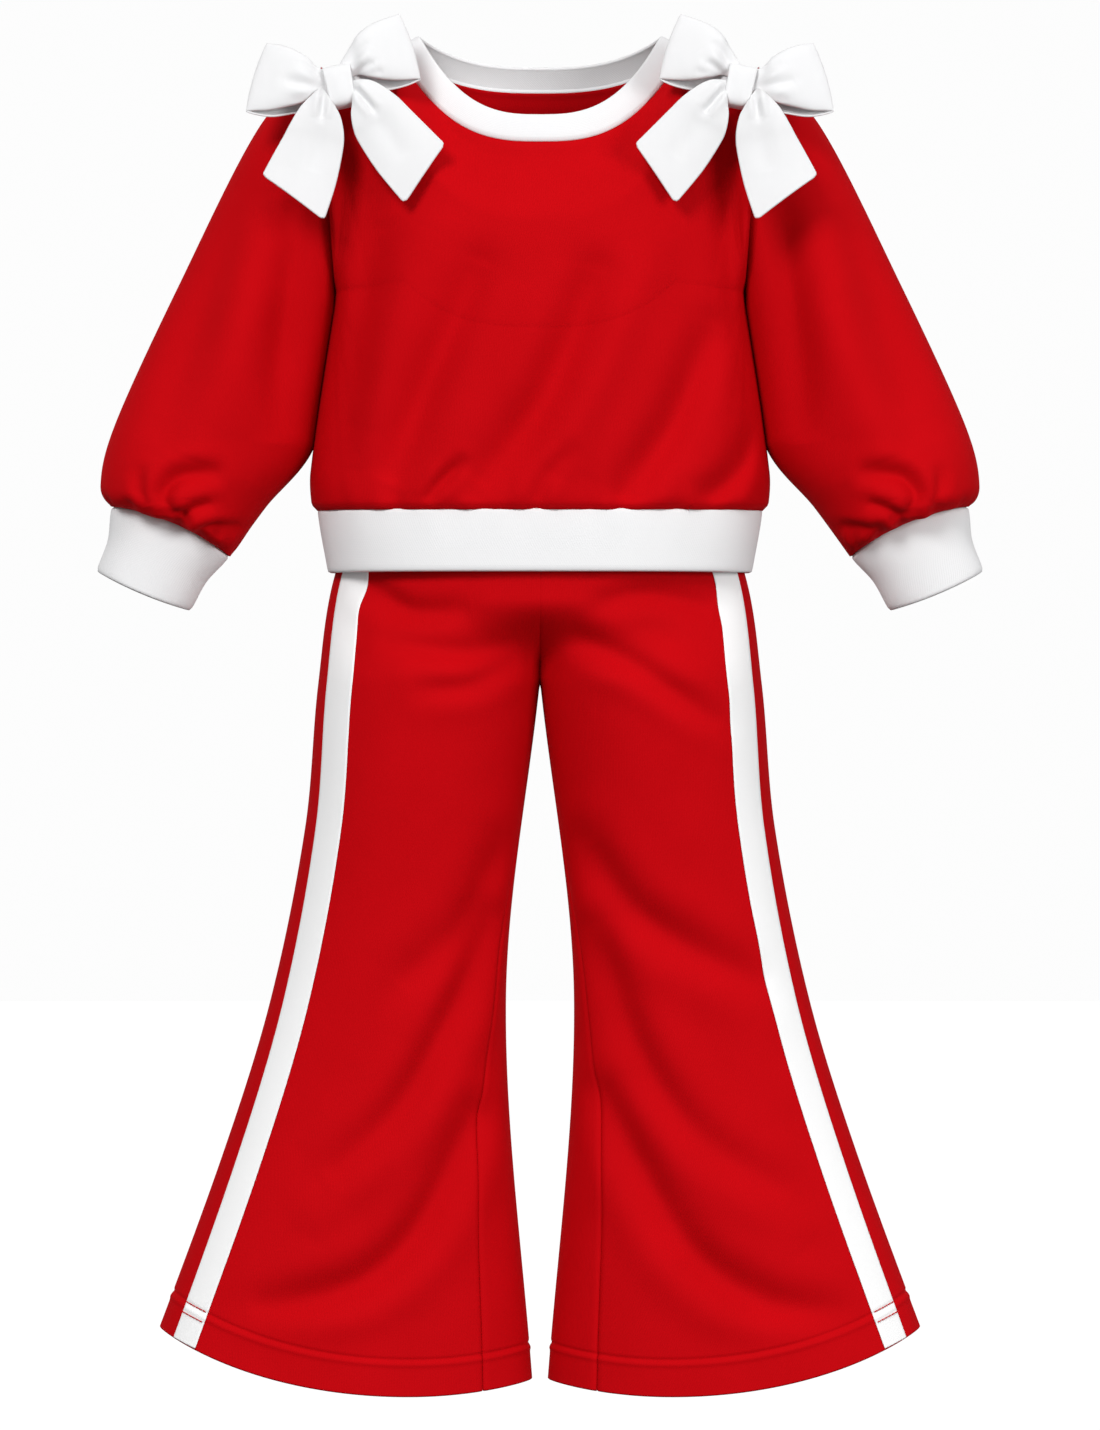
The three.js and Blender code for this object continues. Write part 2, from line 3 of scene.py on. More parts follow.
import bpy
import numpy as np
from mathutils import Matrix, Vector


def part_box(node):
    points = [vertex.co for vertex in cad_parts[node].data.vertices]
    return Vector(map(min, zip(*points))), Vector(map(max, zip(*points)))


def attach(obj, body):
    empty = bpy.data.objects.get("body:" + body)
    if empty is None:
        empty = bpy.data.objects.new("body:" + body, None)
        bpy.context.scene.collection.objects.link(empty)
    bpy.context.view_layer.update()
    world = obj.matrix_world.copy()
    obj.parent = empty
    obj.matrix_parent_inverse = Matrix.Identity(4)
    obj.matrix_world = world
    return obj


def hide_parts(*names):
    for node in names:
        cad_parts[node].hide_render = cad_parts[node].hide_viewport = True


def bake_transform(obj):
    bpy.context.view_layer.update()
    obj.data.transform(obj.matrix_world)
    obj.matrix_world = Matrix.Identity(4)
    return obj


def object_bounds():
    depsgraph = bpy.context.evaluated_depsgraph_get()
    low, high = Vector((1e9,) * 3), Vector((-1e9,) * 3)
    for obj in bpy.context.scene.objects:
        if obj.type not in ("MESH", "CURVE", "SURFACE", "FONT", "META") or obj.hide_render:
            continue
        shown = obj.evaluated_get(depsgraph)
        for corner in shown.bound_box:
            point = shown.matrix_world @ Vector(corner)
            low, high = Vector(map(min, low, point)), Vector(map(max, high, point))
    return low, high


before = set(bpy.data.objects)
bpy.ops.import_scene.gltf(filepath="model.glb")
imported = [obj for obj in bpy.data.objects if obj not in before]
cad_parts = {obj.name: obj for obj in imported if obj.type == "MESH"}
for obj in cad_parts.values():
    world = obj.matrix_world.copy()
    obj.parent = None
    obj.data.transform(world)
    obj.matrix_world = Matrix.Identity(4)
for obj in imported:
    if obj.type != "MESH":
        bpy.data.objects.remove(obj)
cad_bounds = [list(corner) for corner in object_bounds()]

# The uniform's sizes in metres. Heights are measured up from the lowest point of the leg hems, HEM.
HEM = cad_bounds[0][2]
FRONT, BACK = -1, 1
LEFT, RIGHT = 1, -1
SIDE_NAMES = {LEFT: "left", RIGHT: "right"}
KNIT, RIB, RIBBON, STRIPE_CLOTH = 0.0015, 0.0026, 0.0013, 0.0007

band_low, band_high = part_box("hem_band")
neck_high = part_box("neckband")[1]
panel_low, panel_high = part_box("front_body_panel")
casing_low, casing_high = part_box("waistband_casing")

BAND_BOTTOM, BAND_TOP = band_low.z - HEM, band_high.z - HEM
BAND_HALF_WIDTH, BAND_HALF_DEPTH = band_high.x, band_high.y
UNDERARM, SHOULDER_TOP = 0.725, 0.8740
CHEST_HALF_WIDTH, SHOULDER_HALF_WIDTH = 0.135, 0.145
BULGE_HALF_WIDTH, BULGE_RISE = panel_high.x, 0.024
BODY_HALF_DEPTH = -panel_low.y
CHEST_HALF_DEPTH = BODY_HALF_DEPTH - 0.012
ARMHOLE_HALF_DEPTH, SHOULDER_ROUND = 0.040, 0.055
BODY_OVAL = 2.4
NECK_HALF_WIDTH, NECK_SIDE = 0.095, panel_high.z - HEM
NECK_SEAM = {FRONT: (0.8228, 0.052), BACK: (0.8590, 0.044)}
NECK_EDGE = {FRONT: (0.8398, 0.047), BACK: (0.8755, 0.040)}
NECKBAND_HALF_WIDTH, NECKBAND_TOP, NECK_CURVE = 0.080, neck_high.z - HEM, 2.8
SLEEVE_REACH, SLEEVE_DROP, CUFF_TILT, CUFF_HEIGHT = 0.312, 0.316, math.radians(23), 0.040
CUFF_TOP_HALF, CUFF_BOTTOM_HALF = (0.0425, 0.031), (0.0335, 0.027)
WAIST_BOTTOM, WAIST_TOP = casing_low.z - HEM, casing_high.z - HEM
WAIST_HALF_WIDTH, WAIST_HALF_DEPTH = casing_high.x, casing_high.y
CROTCH, SEAT_HALF_DEPTH, THIGH_HALF_WIDTH = 0.466, 0.069, 0.1465
KNEE, KNEE_OUTER, KNEE_INNER, KNEE_HALF_DEPTH = 0.258, 0.178, 0.0224, 0.052
HEM_OUTER, HEM_INNER, HEM_HALF_DEPTH = 0.267, 0.0045, 0.062
HEM_SIDE_RISE, HEM_INSEAM_RISE, HEM_LOWEST = 0.043, 0.0086, -0.41
HEM_TURN_UP = 0.0225
STRIPE_WIDTH, STRIPE_INSET = 0.0165, (0.005, 0.013)
SEAM = 0.0003


def profile(*pairs):
    """A smooth value along a length, through (place, value) pairs in rising order."""
    places, values = np.array(pairs, float).T
    ahead = np.append(np.arange(1, len(places)), len(places) - 1)
    behind = np.append(0, np.arange(len(places) - 1))
    slopes = (values[ahead] - values[behind]) / (places[ahead] - places[behind])

    def along(place):
        place = np.asarray(place, float)
        i = np.clip(np.searchsorted(places, place, side="right") - 1, 0, len(places) - 2)
        span = places[i + 1] - places[i]
        t = np.clip((place - places[i]) / span, 0, 1)
        eased = values[i] + (values[i + 1] - values[i]) * t * t * (3 - 2 * t)
        return eased + t * (1 - t) * ((1 - t) * slopes[i] - t * slopes[i + 1]) * span

    return along


def ease(value, low, high):
    t = np.clip((value - low) / (high - low), 0, 1)
    return t * t * (3 - 2 * t)


def mix(a, b, t):
    return a + (b - a) * t


def signed_power(value, power):
    return np.sign(value) * np.abs(value) ** power


def points(x, y, z):
    return np.stack(np.broadcast_arrays(x, y, z), axis=-1).astype(float)


def curve(controls, t):
    """A Catmull-Rom curve through its control points, evenly by number, at t from 0 to 1."""
    controls = np.array(controls, float)
    spans = len(controls) - 1
    at = np.clip(np.asarray(t, float) * spans, 0, spans)
    i = np.minimum(at.astype(int), spans - 1)
    f = (at - i)[..., None]
    p0, p1 = controls[np.maximum(i - 1, 0)], controls[i]
    p2, p3 = controls[i + 1], controls[np.minimum(i + 2, spans)]
    return 0.5 * (2 * p1 + (p2 - p0) * f + (2 * p0 - 5 * p1 + 4 * p2 - p3) * f ** 2
                  + (3 * p1 - p0 - 3 * p2 + p3) * f ** 3)


# ---- Camera, floor and light


def make_camera():
    distance, frame_height = 7.0, 0.9438
    data = bpy.data.cameras.new("camera")
    data.sensor_fit = "VERTICAL"
    data.sensor_height = 24
    data.lens = data.sensor_height * distance / frame_height
    data.clip_end = 100
    camera = bpy.data.objects.new("camera", data)
    bpy.context.scene.collection.objects.link(camera)
    camera.location = (0.0066, -distance, HEM + 0.446)
    camera.rotation_euler = (math.pi / 2, 0, 0)
    bpy.context.scene.camera = camera


def softbox(name, place, size, power):
    data = bpy.data.lights.new(name, "AREA")
    data.shape, data.size, data.energy = "DISK", size, power
    light = bpy.data.objects.new(name, data)
    bpy.context.scene.collection.objects.link(light)
    light.location = place
    light.rotation_euler = (Vector((0, 0, -0.15)) - Vector(place)).to_track_quat("-Z", "Y").to_euler()


class Value:
    """One socket of a material: its arithmetic adds Math nodes."""

    def __init__(self, finish, socket):
        self.finish, self.socket = finish, socket

    def _math(self, operation, first, second):
        return self.finish.node("ShaderNodeMath", {"operation": operation}, {0: first, 1: second})

    def __add__(self, other):
        return self._math("ADD", self, other)

    def __sub__(self, other):
        return self._math("SUBTRACT", self, other)

    def __rsub__(self, other):
        return self._math("SUBTRACT", other, self)

    def __mul__(self, other):
        return self._math("MULTIPLY", self, other)

    def __pow__(self, other):
        return self._math("POWER", self, other)

    __radd__, __rmul__ = __add__, __mul__


class Finish:
    """A material and its nodes."""

    def __init__(self, name):
        self.material = bpy.data.materials.new(name)
        self.material.use_nodes = True
        self.tree = self.material.node_tree
        self.shader = self.tree.nodes["Principled BSDF"]

    def node(self, kind, settings=None, inputs=None, output=0):
        node = self.tree.nodes.new(kind)
        for key, value in (settings or {}).items():
            setattr(node, key, value)
        self.fill(node, inputs or {})
        return Value(self, node.outputs[output])

    def fill(self, node, inputs):
        for key, value in inputs.items():
            if isinstance(value, Value):
                self.tree.links.new(value.socket, node.inputs[key])
            else:
                node.inputs[key].default_value = value

    def wave_along(self, attribute, pitch):
        """A sine from 0 to 1 along one of the cloth's own lengths."""
        length = self.node("ShaderNodeAttribute", {"attribute_name": attribute}, output="Fac")
        turn = length * (2 * math.pi / pitch)
        return self.node("ShaderNodeMath", {"operation": "SINE"}, {0: turn}) * 0.5 + 0.5

    def noise(self, scale, detail=3.0, stretch=(1, 1, 1)):
        place = self.node("ShaderNodeTexCoord", output="Object")
        place = self.node("ShaderNodeVectorMath", {"operation": "MULTIPLY"}, {0: place, 1: stretch})
        return self.node("ShaderNodeTexNoise", {}, {"Vector": place, "Scale": scale, "Detail": detail})

    def colour_between(self, amount, dark, light):
        return self.node("ShaderNodeMix", {"data_type": "RGBA"},
                         {0: amount, 6: dark + (1,), 7: light + (1,)}, 2)

    def bump(self, height, distance, strength=1.0):
        return self.node("ShaderNodeBump", {}, {"Height": height, "Distance": distance, "Strength": strength})


def knit_finish(name, dark, light, wale, course, depth, roughness, sheen):
    """Knitted cloth: wales along it, courses across it, slow changes of colour and fuzz on its surface."""
    finish = Finish(name)
    wales = finish.wave_along("across", wale)
    courses = finish.wave_along("along", course)
    loops = wales ** 0.6 * (0.55 + courses * 0.45)
    fuzz = finish.noise(1800, 2)
    mottle = finish.noise(26, 4)
    shade = mottle * 0.5 + loops * 0.35 + fuzz * 0.15
    finish.fill(finish.shader, {
        "Base Color": finish.colour_between(shade, dark, light),
        "Roughness": roughness + (fuzz - 0.5) * 0.12,
        "Normal": finish.bump(loops + fuzz * 0.6, depth),
        "Sheen Weight": sheen, "Sheen Roughness": 0.5, "Sheen Tint": light + (1,), "Specular IOR Level": 0.04,
    })
    return finish.material


def woven_finish(name, dark, light, pitch, depth, roughness, sheen):
    """Plain woven cloth: threads over and under each other."""
    finish = Finish(name)
    warp = finish.wave_along("across", pitch)
    weft = finish.wave_along("along", pitch)
    threads = warp * weft + (1 - warp) * (1 - weft)
    slubs = finish.noise(140, 3, (1, 1, 0.2))
    finish.fill(finish.shader, {
        "Base Color": finish.colour_between(threads * 0.5 + slubs * 0.5, dark, light),
        "Roughness": roughness + (slubs - 0.5) * 0.15,
        "Normal": finish.bump(threads + slubs * 0.5, depth),
        "Sheen Weight": sheen, "Sheen Roughness": 0.5, "Specular IOR Level": 0.15,
    })
    return finish.material


RED_DARK, RED_LIGHT = (0.44, 0.0007, 0.0024), (0.57, 0.0016, 0.0052)
WHITE_DARK, WHITE_LIGHT = (0.79, 0.79, 0.80), (0.85, 0.85, 0.855)
# Painted shade: the bow ribbon is the same white as the bands, but its colour is set darker to offset the
# extra key light on its upward-facing loops.
PAINTED_SHADE_BOW_DARK, PAINTED_SHADE_BOW_LIGHT = (0.765, 0.765, 0.775), (0.815, 0.815, 0.82)
# Painted light: the stripe tape is the same white as the bands, but its colour is set brighter to offset the
# shade on the legs' sides, which turn away from the lights.
PAINTED_LIGHT_STRIPE_DARK, PAINTED_LIGHT_STRIPE_LIGHT = (0.90, 0.90, 0.90), (0.95, 0.95, 0.95)

FINISHES = {
    "red_knit": knit_finish("red_double_knit", RED_DARK, RED_LIGHT, 0.0011, 0.0010, 0.00008, 0.80, 0.05),
    "white_rib": knit_finish("white_rib_knit", WHITE_DARK, WHITE_LIGHT, 0.0016, 0.0011, 0.00008, 0.85, 0.05),
    # The bow cloth takes the darker painted-shade white.
    "white_bow_cloth": woven_finish("white_bow_crepe_painted_shade", PAINTED_SHADE_BOW_DARK, PAINTED_SHADE_BOW_LIGHT, 0.0006, 0.00006, 0.70, 0.05),
    # The stripe cloth takes the brighter painted-light white.
    "white_stripe": knit_finish("white_stripe_knit_painted_light", PAINTED_LIGHT_STRIPE_DARK, PAINTED_LIGHT_STRIPE_LIGHT, 0.0009, 0.0009, 0.00006, 0.8,
                                0.05),
    "white_thread": woven_finish("white_thread", WHITE_DARK, WHITE_LIGHT, 0.0008, 0.00010, 0.6, 0.05),
    "red_thread": woven_finish("red_thread", RED_DARK, RED_LIGHT, 0.0008, 0.00010, 0.6, 0.05),
    "elastic": knit_finish("waist_elastic", (0.62, 0.62, 0.60), (0.78, 0.78, 0.76), 0.0018, 0.0012, 0.0002,
                           0.8, 0.05),
}


FLOOR_GLOW, FLOOR_RADIUS, FLOOR_BELOW = 0.908, 14.0, 0.12
ROOM_STRENGTH, ROOM_RISE, WALL_STRENGTH = 0.36, 0.26, 0.98


def make_stage():
    floor_material = Finish("studio_floor")
    mottle = floor_material.noise(0.8, 2)
    floor_material.fill(floor_material.shader, {
        "Base Color": floor_material.colour_between(mottle, (0.19, 0.19, 0.19), (0.21, 0.21, 0.21)),
        "Roughness": 1.0, "Specular IOR Level": 0.0,
        "Emission Color": (1, 1, 1, 1), "Emission Strength": FLOOR_GLOW,
    })
    steps = 96
    ring = [(FLOOR_RADIUS * math.cos(math.tau * i / steps), FLOOR_RADIUS * math.sin(math.tau * i / steps),
             HEM - FLOOR_BELOW)
            for i in range(steps)]
    mesh = bpy.data.meshes.new("studio_floor")
    mesh.from_pydata(ring, [], [list(range(steps))])
    floor = bpy.data.objects.new("studio_floor", mesh)
    floor.data.materials.append(floor_material.material)
    bpy.context.scene.collection.objects.link(floor)
    floor.visible_diffuse = False
    floor.visible_glossy = False

    world = bpy.data.worlds.new("studio")
    world.use_nodes = True
    nodes, links = world.node_tree.nodes, world.node_tree.links
    room = nodes["Background"]
    room.inputs["Color"].default_value = (1, 1, 1, 1)
    direction = nodes.new("ShaderNodeTexCoord")
    split = nodes.new("ShaderNodeSeparateXYZ")
    links.new(direction.outputs["Generated"], split.inputs[0])
    brighter_above = nodes.new("ShaderNodeMath")
    brighter_above.operation = "MULTIPLY_ADD"
    brighter_above.inputs[1].default_value = ROOM_RISE
    brighter_above.inputs[2].default_value = ROOM_STRENGTH
    links.new(split.outputs["Z"], brighter_above.inputs[0])
    links.new(brighter_above.outputs[0], room.inputs["Strength"])
    wall = nodes.new("ShaderNodeBackground")
    wall.inputs["Strength"].default_value = WALL_STRENGTH
    wall.inputs["Color"].default_value = (1, 1, 1, 1)
    seen = nodes.new("ShaderNodeLightPath")
    both = nodes.new("ShaderNodeMixShader")
    links.new(seen.outputs["Is Camera Ray"], both.inputs[0])
    links.new(room.outputs[0], both.inputs[1])
    links.new(wall.outputs[0], both.inputs[2])
    links.new(both.outputs[0], nodes["World Output"].inputs["Surface"])
    bpy.context.scene.world = world
    bpy.context.scene.view_settings.view_transform = "Standard"

    softbox("key_softbox", (-2.6, -5.6, 3.8), 2.6, 300)
    softbox("fill_softbox", (4.4, -4.9, 1.0), 3.0, 200)


# ---- Cloth as meshes


def grid_normals(outer, closed):
    """Unit normals of a grid of points, rows by columns, out of the face that column x row turns to."""
    if closed:
        wrapped = np.concatenate([outer[:, -1:], outer, outer[:, :1]], axis=1)
        across = wrapped[:, 2:] - wrapped[:, :-2]
    else:
        across = np.gradient(outer, axis=1)
    normals = np.cross(across, np.gradient(outer, axis=0))
    length = np.linalg.norm(normals, axis=-1, keepdims=True)
    return normals / np.maximum(length, 1e-12)


def strip_quads(first, second, closed):
    """Quads between two lines of vertex numbers."""
    first, second = np.asarray(first), np.asarray(second)
    if closed:
        first, second = np.append(first, first[0]), np.append(second, second[0])
    return np.stack([first[:-1], first[1:], second[1:], second[:-1]], axis=1)


def make_mesh(name, vertices, quads, lengths, finish, body_slot, node=None):
    mesh = bpy.data.meshes.new(name)
    mesh.from_pydata((vertices + np.array([0, 0, HEM])).tolist(), [], quads.tolist())
    for key, values in lengths.items():
        mesh.attributes.new(key, "FLOAT", "POINT").data.foreach_set("value", values.astype(np.float32))
    mesh.polygons.foreach_set("use_smooth", np.ones(len(quads), bool))
    mesh.materials.append(FINISHES[finish])
    piece = bpy.data.objects.new(name, mesh)
    bpy.context.scene.collection.objects.link(piece)
    body, slot = body_slot
    if body:
        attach(piece, body)
    if node:
        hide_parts(node)
    return piece


def cloth(name, outer, thickness, finish, body, node=None, closed=False,
          mirror=False):
    """A piece of cloth with its thickness and rounded edges, from the grid of points of its outer face."""
    outer = np.array(outer)
    if mirror:
        outer = outer[:, ::-1] * np.array([-1, 1, 1])
    normals = grid_normals(outer, closed)
    rows, columns = outer.shape[:2]
    inner = outer - normals * thickness
    middle = (outer + inner) / 2
    bulge = 0.45 * thickness

    def rim(line, inward):
        away = line - inward
        return away / np.maximum(np.linalg.norm(away, axis=-1, keepdims=True), 1e-12) * bulge

    extra = [middle[0] + rim(middle[0], middle[1]), middle[-1] + rim(middle[-1], middle[-2])]
    if not closed:
        extra += [middle[:, 0] + rim(middle[:, 0], middle[:, 1]),
                  middle[:, -1] + rim(middle[:, -1], middle[:, -2])]
    face = np.arange(rows * columns).reshape(rows, columns)
    back = face + rows * columns
    starts = np.cumsum([2 * rows * columns] + [len(line) for line in extra])
    low, high = [np.arange(starts[i], starts[i + 1]) for i in (0, 1)]
    quads = []
    for j in range(rows - 1):
        quads.append(strip_quads(face[j], face[j + 1], closed))
        quads.append(strip_quads(back[j], back[j + 1], closed)[:, ::-1])
    quads += [strip_quads(low, face[0], closed), strip_quads(low, back[0], closed)[:, ::-1]]
    quads += [strip_quads(face[-1], high, closed), strip_quads(back[-1], high, closed)[:, ::-1]]
    if not closed:
        first, last = [np.arange(starts[i], starts[i + 1]) for i in (2, 3)]
        first[0], first[-1], last[0], last[-1] = low[0], high[0], low[-1], high[-1]
        quads += [strip_quads(face[:, 0], first, False), strip_quads(back[:, 0], first, False)[:, ::-1]]
        quads += [strip_quads(last, face[:, -1], False), strip_quads(last, back[:, -1], False)[:, ::-1]]
    steps_across = np.linalg.norm(np.diff(outer, axis=1, prepend=outer[:, :1]), axis=-1)
    steps_along = np.linalg.norm(np.diff(outer, axis=0, prepend=outer[:1]), axis=-1)
    lengths = {}
    for key, steps, axis in (("across", steps_across, 1), ("along", steps_along, 0)):
        measure = np.cumsum(steps, axis=axis)
        edges = [measure[0], measure[-1]] + ([] if closed else [measure[:, 0], measure[:, -1]])
        lengths[key] = np.concatenate([measure.ravel(), measure.ravel()] + [edge.ravel() for edge in edges])
    vertices = np.concatenate([outer.reshape(-1, 3), inner.reshape(-1, 3)] + extra)
    used, compact = np.unique(np.concatenate(quads), return_inverse=True)
    quads = compact.reshape(-1, 4)
    lengths = {key: values[used] for key, values in lengths.items()}
    slot = finish if finish != "red_thread" else "red_knit"
    piece = make_mesh(name, vertices[used], quads, lengths, finish, (body, slot), node)
    width = float(np.mean(np.sum(steps_across, axis=1)))
    if closed:
        width += float(np.mean(np.linalg.norm(outer[:, 0] - outer[:, -1], axis=-1)))
    length = float(np.mean(np.sum(steps_along, axis=0)))
    if thickness > STRIPE_CLOTH / 2:
        declare_sheet(width, length, outer, closed)
    return piece


def declare_sheet(width, length, outer, closed):
    """Works out the flat size of a piece, to 5 mm, and its cut area from its outer face; neither is kept or
    returned.
    """
    wrap = np.concatenate([outer, outer[:, :1]], axis=1) if closed else outer
    a, b = np.diff(wrap, axis=1)[:-1], np.diff(wrap, axis=0)[:, :-1]
    area = float(np.sum(np.linalg.norm(np.cross(a, b), axis=-1)))
    flat = [max(round(size * 200 + 0.5) / 200, 0.01) for size in (width, length)]
    area = min(max(area, 0.31 * flat[0] * flat[1]), flat[0] * flat[1])


def seam_dip(outer, edges, depth=0.0011, width=0.0022):
    """Pulls the named edges of a grid in under the surface, as cloth does where it is sewn."""
    normals = grid_normals(outer, False)
    rows = np.concatenate([np.zeros((1, outer.shape[1])), np.cumsum(
        np.linalg.norm(np.diff(outer, axis=0), axis=-1), axis=0)])
    columns = np.concatenate([np.zeros((outer.shape[0], 1)), np.cumsum(
        np.linalg.norm(np.diff(outer, axis=1), axis=-1), axis=1)], axis=1)
    distance = {"start_row": rows, "end_row": rows[-1:] - rows,
                "start_column": columns, "end_column": columns[:, -1:] - columns}
    dip = np.zeros(rows.shape)
    for edge in edges:
        dip = np.maximum(dip, depth * np.exp(-(distance[edge] / width) ** 2))
    return outer - normals * dip[..., None]


FOLD_STRENGTH, BODY_FOLD_GAIN = 1.5, 1.35
FOLD_DROP, FOLD_FLANK = 0.4, 0.3  # of a fold's width, and of its lift


def fold_depth(x, height, folds):
    """How far soft folds lift a cloth at a place seen from the front. Each fold is (points, width, lift):
    a smooth line of (x, height) points, how wide it is, and how far it lifts the cloth.
    A valley's lift is negative."""
    lift = np.zeros(np.shape(x))
    for line, width, amount in folds:
        path = curve(line, np.linspace(0, 1, 15))
        nearest, share = np.full(np.shape(x), np.inf), np.zeros(np.shape(x))
        for i in range(len(path) - 1):
            step_x, step_z = path[i + 1] - path[i]
            off_x, off_z = x - path[i, 0], height - path[i, 1] + FOLD_DROP * width
            t = np.clip((off_x * step_x + off_z * step_z) / (step_x ** 2 + step_z ** 2), 0, 1)
            gap = (off_x - t * step_x) ** 2 + (off_z - t * step_z) ** 2
            closer = gap < nearest
            nearest = np.where(closer, gap, nearest)
            share = np.where(closer, (i + t) / (len(path) - 1), share)
        fade = np.sin(np.pi * np.clip(share * 0.9 + 0.08, 0, 1)) ** 0.6
        across = np.sqrt(nearest) / width
        flank = FOLD_FLANK * np.exp(-((across - 2.0) / 1.1) ** 2)
        lift += FOLD_STRENGTH * amount * fade * (np.exp(-across ** 2) - flank)
    return lift


def even_steps(count, low=0.0, high=1.0):
    return np.linspace(low, high, count)


# ---- Pullover body

BODY_BOTTOM = BAND_TOP - 0.0024
side_half_width = profile(
    (BODY_BOTTOM, BAND_HALF_WIDTH + 0.0014), (BAND_TOP + 0.004, BAND_HALF_WIDTH + 0.0040),
    (BAND_TOP + BULGE_RISE, BULGE_HALF_WIDTH), (UNDERARM, CHEST_HALF_WIDTH))
body_half_depth = profile(
    (BODY_BOTTOM, BAND_HALF_DEPTH + 0.0014), (BAND_TOP + 0.004, BAND_HALF_DEPTH + 0.0030),
    (BAND_TOP + BULGE_RISE, BODY_HALF_DEPTH), (UNDERARM, BODY_HALF_DEPTH - 0.002),
    (NECK_SEAM[FRONT][0], CHEST_HALF_DEPTH), (NECK_SIDE, CHEST_HALF_DEPTH - 0.012))
ARMHOLE_MIDDLE = (UNDERARM + SHOULDER_TOP) / 2
ARMHOLE_HALF_HEIGHT = (SHOULDER_TOP - UNDERARM) / 2

BODY_FOLDS = {
    FRONT: [
        ([(0.036, 0.740), (0.004, 0.660), (-0.040, 0.600)], 0.0130, -0.0042),
        ([(0.112, 0.705), (0.086, 0.640), (0.052, 0.590)], 0.0120, -0.0046),
        ([(-0.040, 0.745), (-0.072, 0.668), (-0.098, 0.602)], 0.0125, -0.0042),
        ([(-0.106, 0.765), (-0.120, 0.690), (-0.128, 0.615)], 0.0100, -0.0022),
        ([(0.144, 0.638), (0.128, 0.608), (0.108, 0.590)], 0.0080, -0.0032),
        ([(-0.052, 0.612), (-0.066, 0.598), (-0.074, 0.586)], 0.0045, -0.0020),
        ([(0.018, 0.620), (0.004, 0.602), (-0.002, 0.586)], 0.0055, -0.0012),
        ([(0.125, 0.790), (0.128, 0.730), (0.134, 0.665)], 0.0090, -0.0020),
        ([(-0.072, 0.770), (-0.100, 0.700), (-0.118, 0.640)], 0.0150, 0.0018),
        ([(0.076, 0.760), (0.046, 0.680), (0.010, 0.610)], 0.0160, 0.0020),
    ],
    BACK: [
        ([(-0.070, 0.740), (-0.040, 0.660), (0.010, 0.600)], 0.0130, -0.0040),
        ([(0.060, 0.730), (0.085, 0.650), (0.115, 0.600)], 0.0120, -0.0036),
        ([(-0.110, 0.690), (-0.095, 0.640), (-0.070, 0.595)], 0.0105, -0.0030),
        ([(0.030, 0.640), (0.020, 0.610), (0.016, 0.588)], 0.0060, -0.0018),
        ([(0.000, 0.800), (0.020, 0.720), (0.030, 0.650)], 0.0180, 0.0020),
    ],
}


def armhole_half_width(height):
    rise = np.clip((height - UNDERARM) / (SHOULDER_TOP - UNDERARM), 0, 1)
    return mix(CHEST_HALF_WIDTH, SHOULDER_HALF_WIDTH, rise)


def panel_half_width(height):
    return np.where(height < UNDERARM, side_half_width(height), armhole_half_width(height))


def armhole_depth(height, softness=0.0):
    """Half depth of the armhole at a height; away from its seam its ends soften into the body."""
    depth = 0
    for step in (-1, -0.6, -0.3, 0, 0.3, 0.6, 1):
        rise = np.clip((height + step * softness - ARMHOLE_MIDDLE) / ARMHOLE_HALF_HEIGHT, -1, 1)
        depth = depth + ARMHOLE_HALF_DEPTH * np.sqrt(1 - rise ** 2) / 7
    return depth


def neck_seam(share, side):
    """Height and depth of the neck seam at a share of its half width."""
    middle, depth = NECK_SEAM[side]
    rise = (NECK_SIDE - middle) * np.abs(share) ** NECK_CURVE
    return middle + rise, depth * np.sqrt(np.clip(1 - share ** 2, 0, 1))


def panel_top(x, side):
    """Where a column of the body panel ends: on the neck seam or on the shoulder seam."""
    height, depth = neck_seam(np.clip(x / NECK_HALF_WIDTH, -1, 1), side)
    out = np.clip((np.abs(x) - NECK_HALF_WIDTH) / (SHOULDER_HALF_WIDTH - NECK_HALF_WIDTH), 0, 1)
    shoulder = mix(NECK_SIDE, SHOULDER_TOP, out)
    on_neck = np.abs(x) < NECK_HALF_WIDTH
    return np.where(on_neck, height, shoulder), np.where(on_neck, depth, 0)


def body_depth(share, height, side):
    top, edge = panel_top(share * SHOULDER_HALF_WIDTH, side)
    near = np.clip((height - top + SHOULDER_ROUND) / SHOULDER_ROUND, 0, 1)
    oval = np.clip(1 - np.abs(share) ** BODY_OVAL, 0, 1) ** (1 / BODY_OVAL)
    beside_neck = ease(np.abs(share) * SHOULDER_HALF_WIDTH, 0.6 * NECK_HALF_WIDTH, NECK_HALF_WIDTH)
    roundness = mix(ease(1 - near, 0, 1), np.sqrt(1 - near ** 2), beside_neck)
    rounded = mix(edge, body_half_depth(height) * oval, roundness)
    below = ease(top - height, 0, 0.05)
    softened = mix(armhole_depth(height), armhole_depth(height, 0.9 * (1 - np.abs(share))), below)
    return softened * share ** 12 + rounded


def hem_gathers(x, height, side):
    """Small irregular gathers where the body is sewn to the shorter hem band."""
    ripple = np.sin(x * 210 + side) + 0.7 * np.sin(x * 340 + 2.1 * side + 1.3) + 0.5 * np.sin(x * 91 + 0.4)
    return 0.0008 * ripple * np.exp(-((height - BODY_BOTTOM) / 0.020) ** 2)


def panel_shares(count):
    """Shares of the half width across a panel, closer together near the sides and the neck's corners."""
    neck = NECK_HALF_WIDTH / SHOULDER_HALF_WIDTH
    half = count // 3
    middle = neck * np.sin(even_steps(count + 1, -1, 1) * math.pi / 2)
    start = math.asin(neck ** (BODY_OVAL / 2))
    side = np.sin(even_steps(half + 1, start, math.pi / 2)[1:]) ** (2 / BODY_OVAL)
    return np.concatenate([-side[::-1], middle, side])


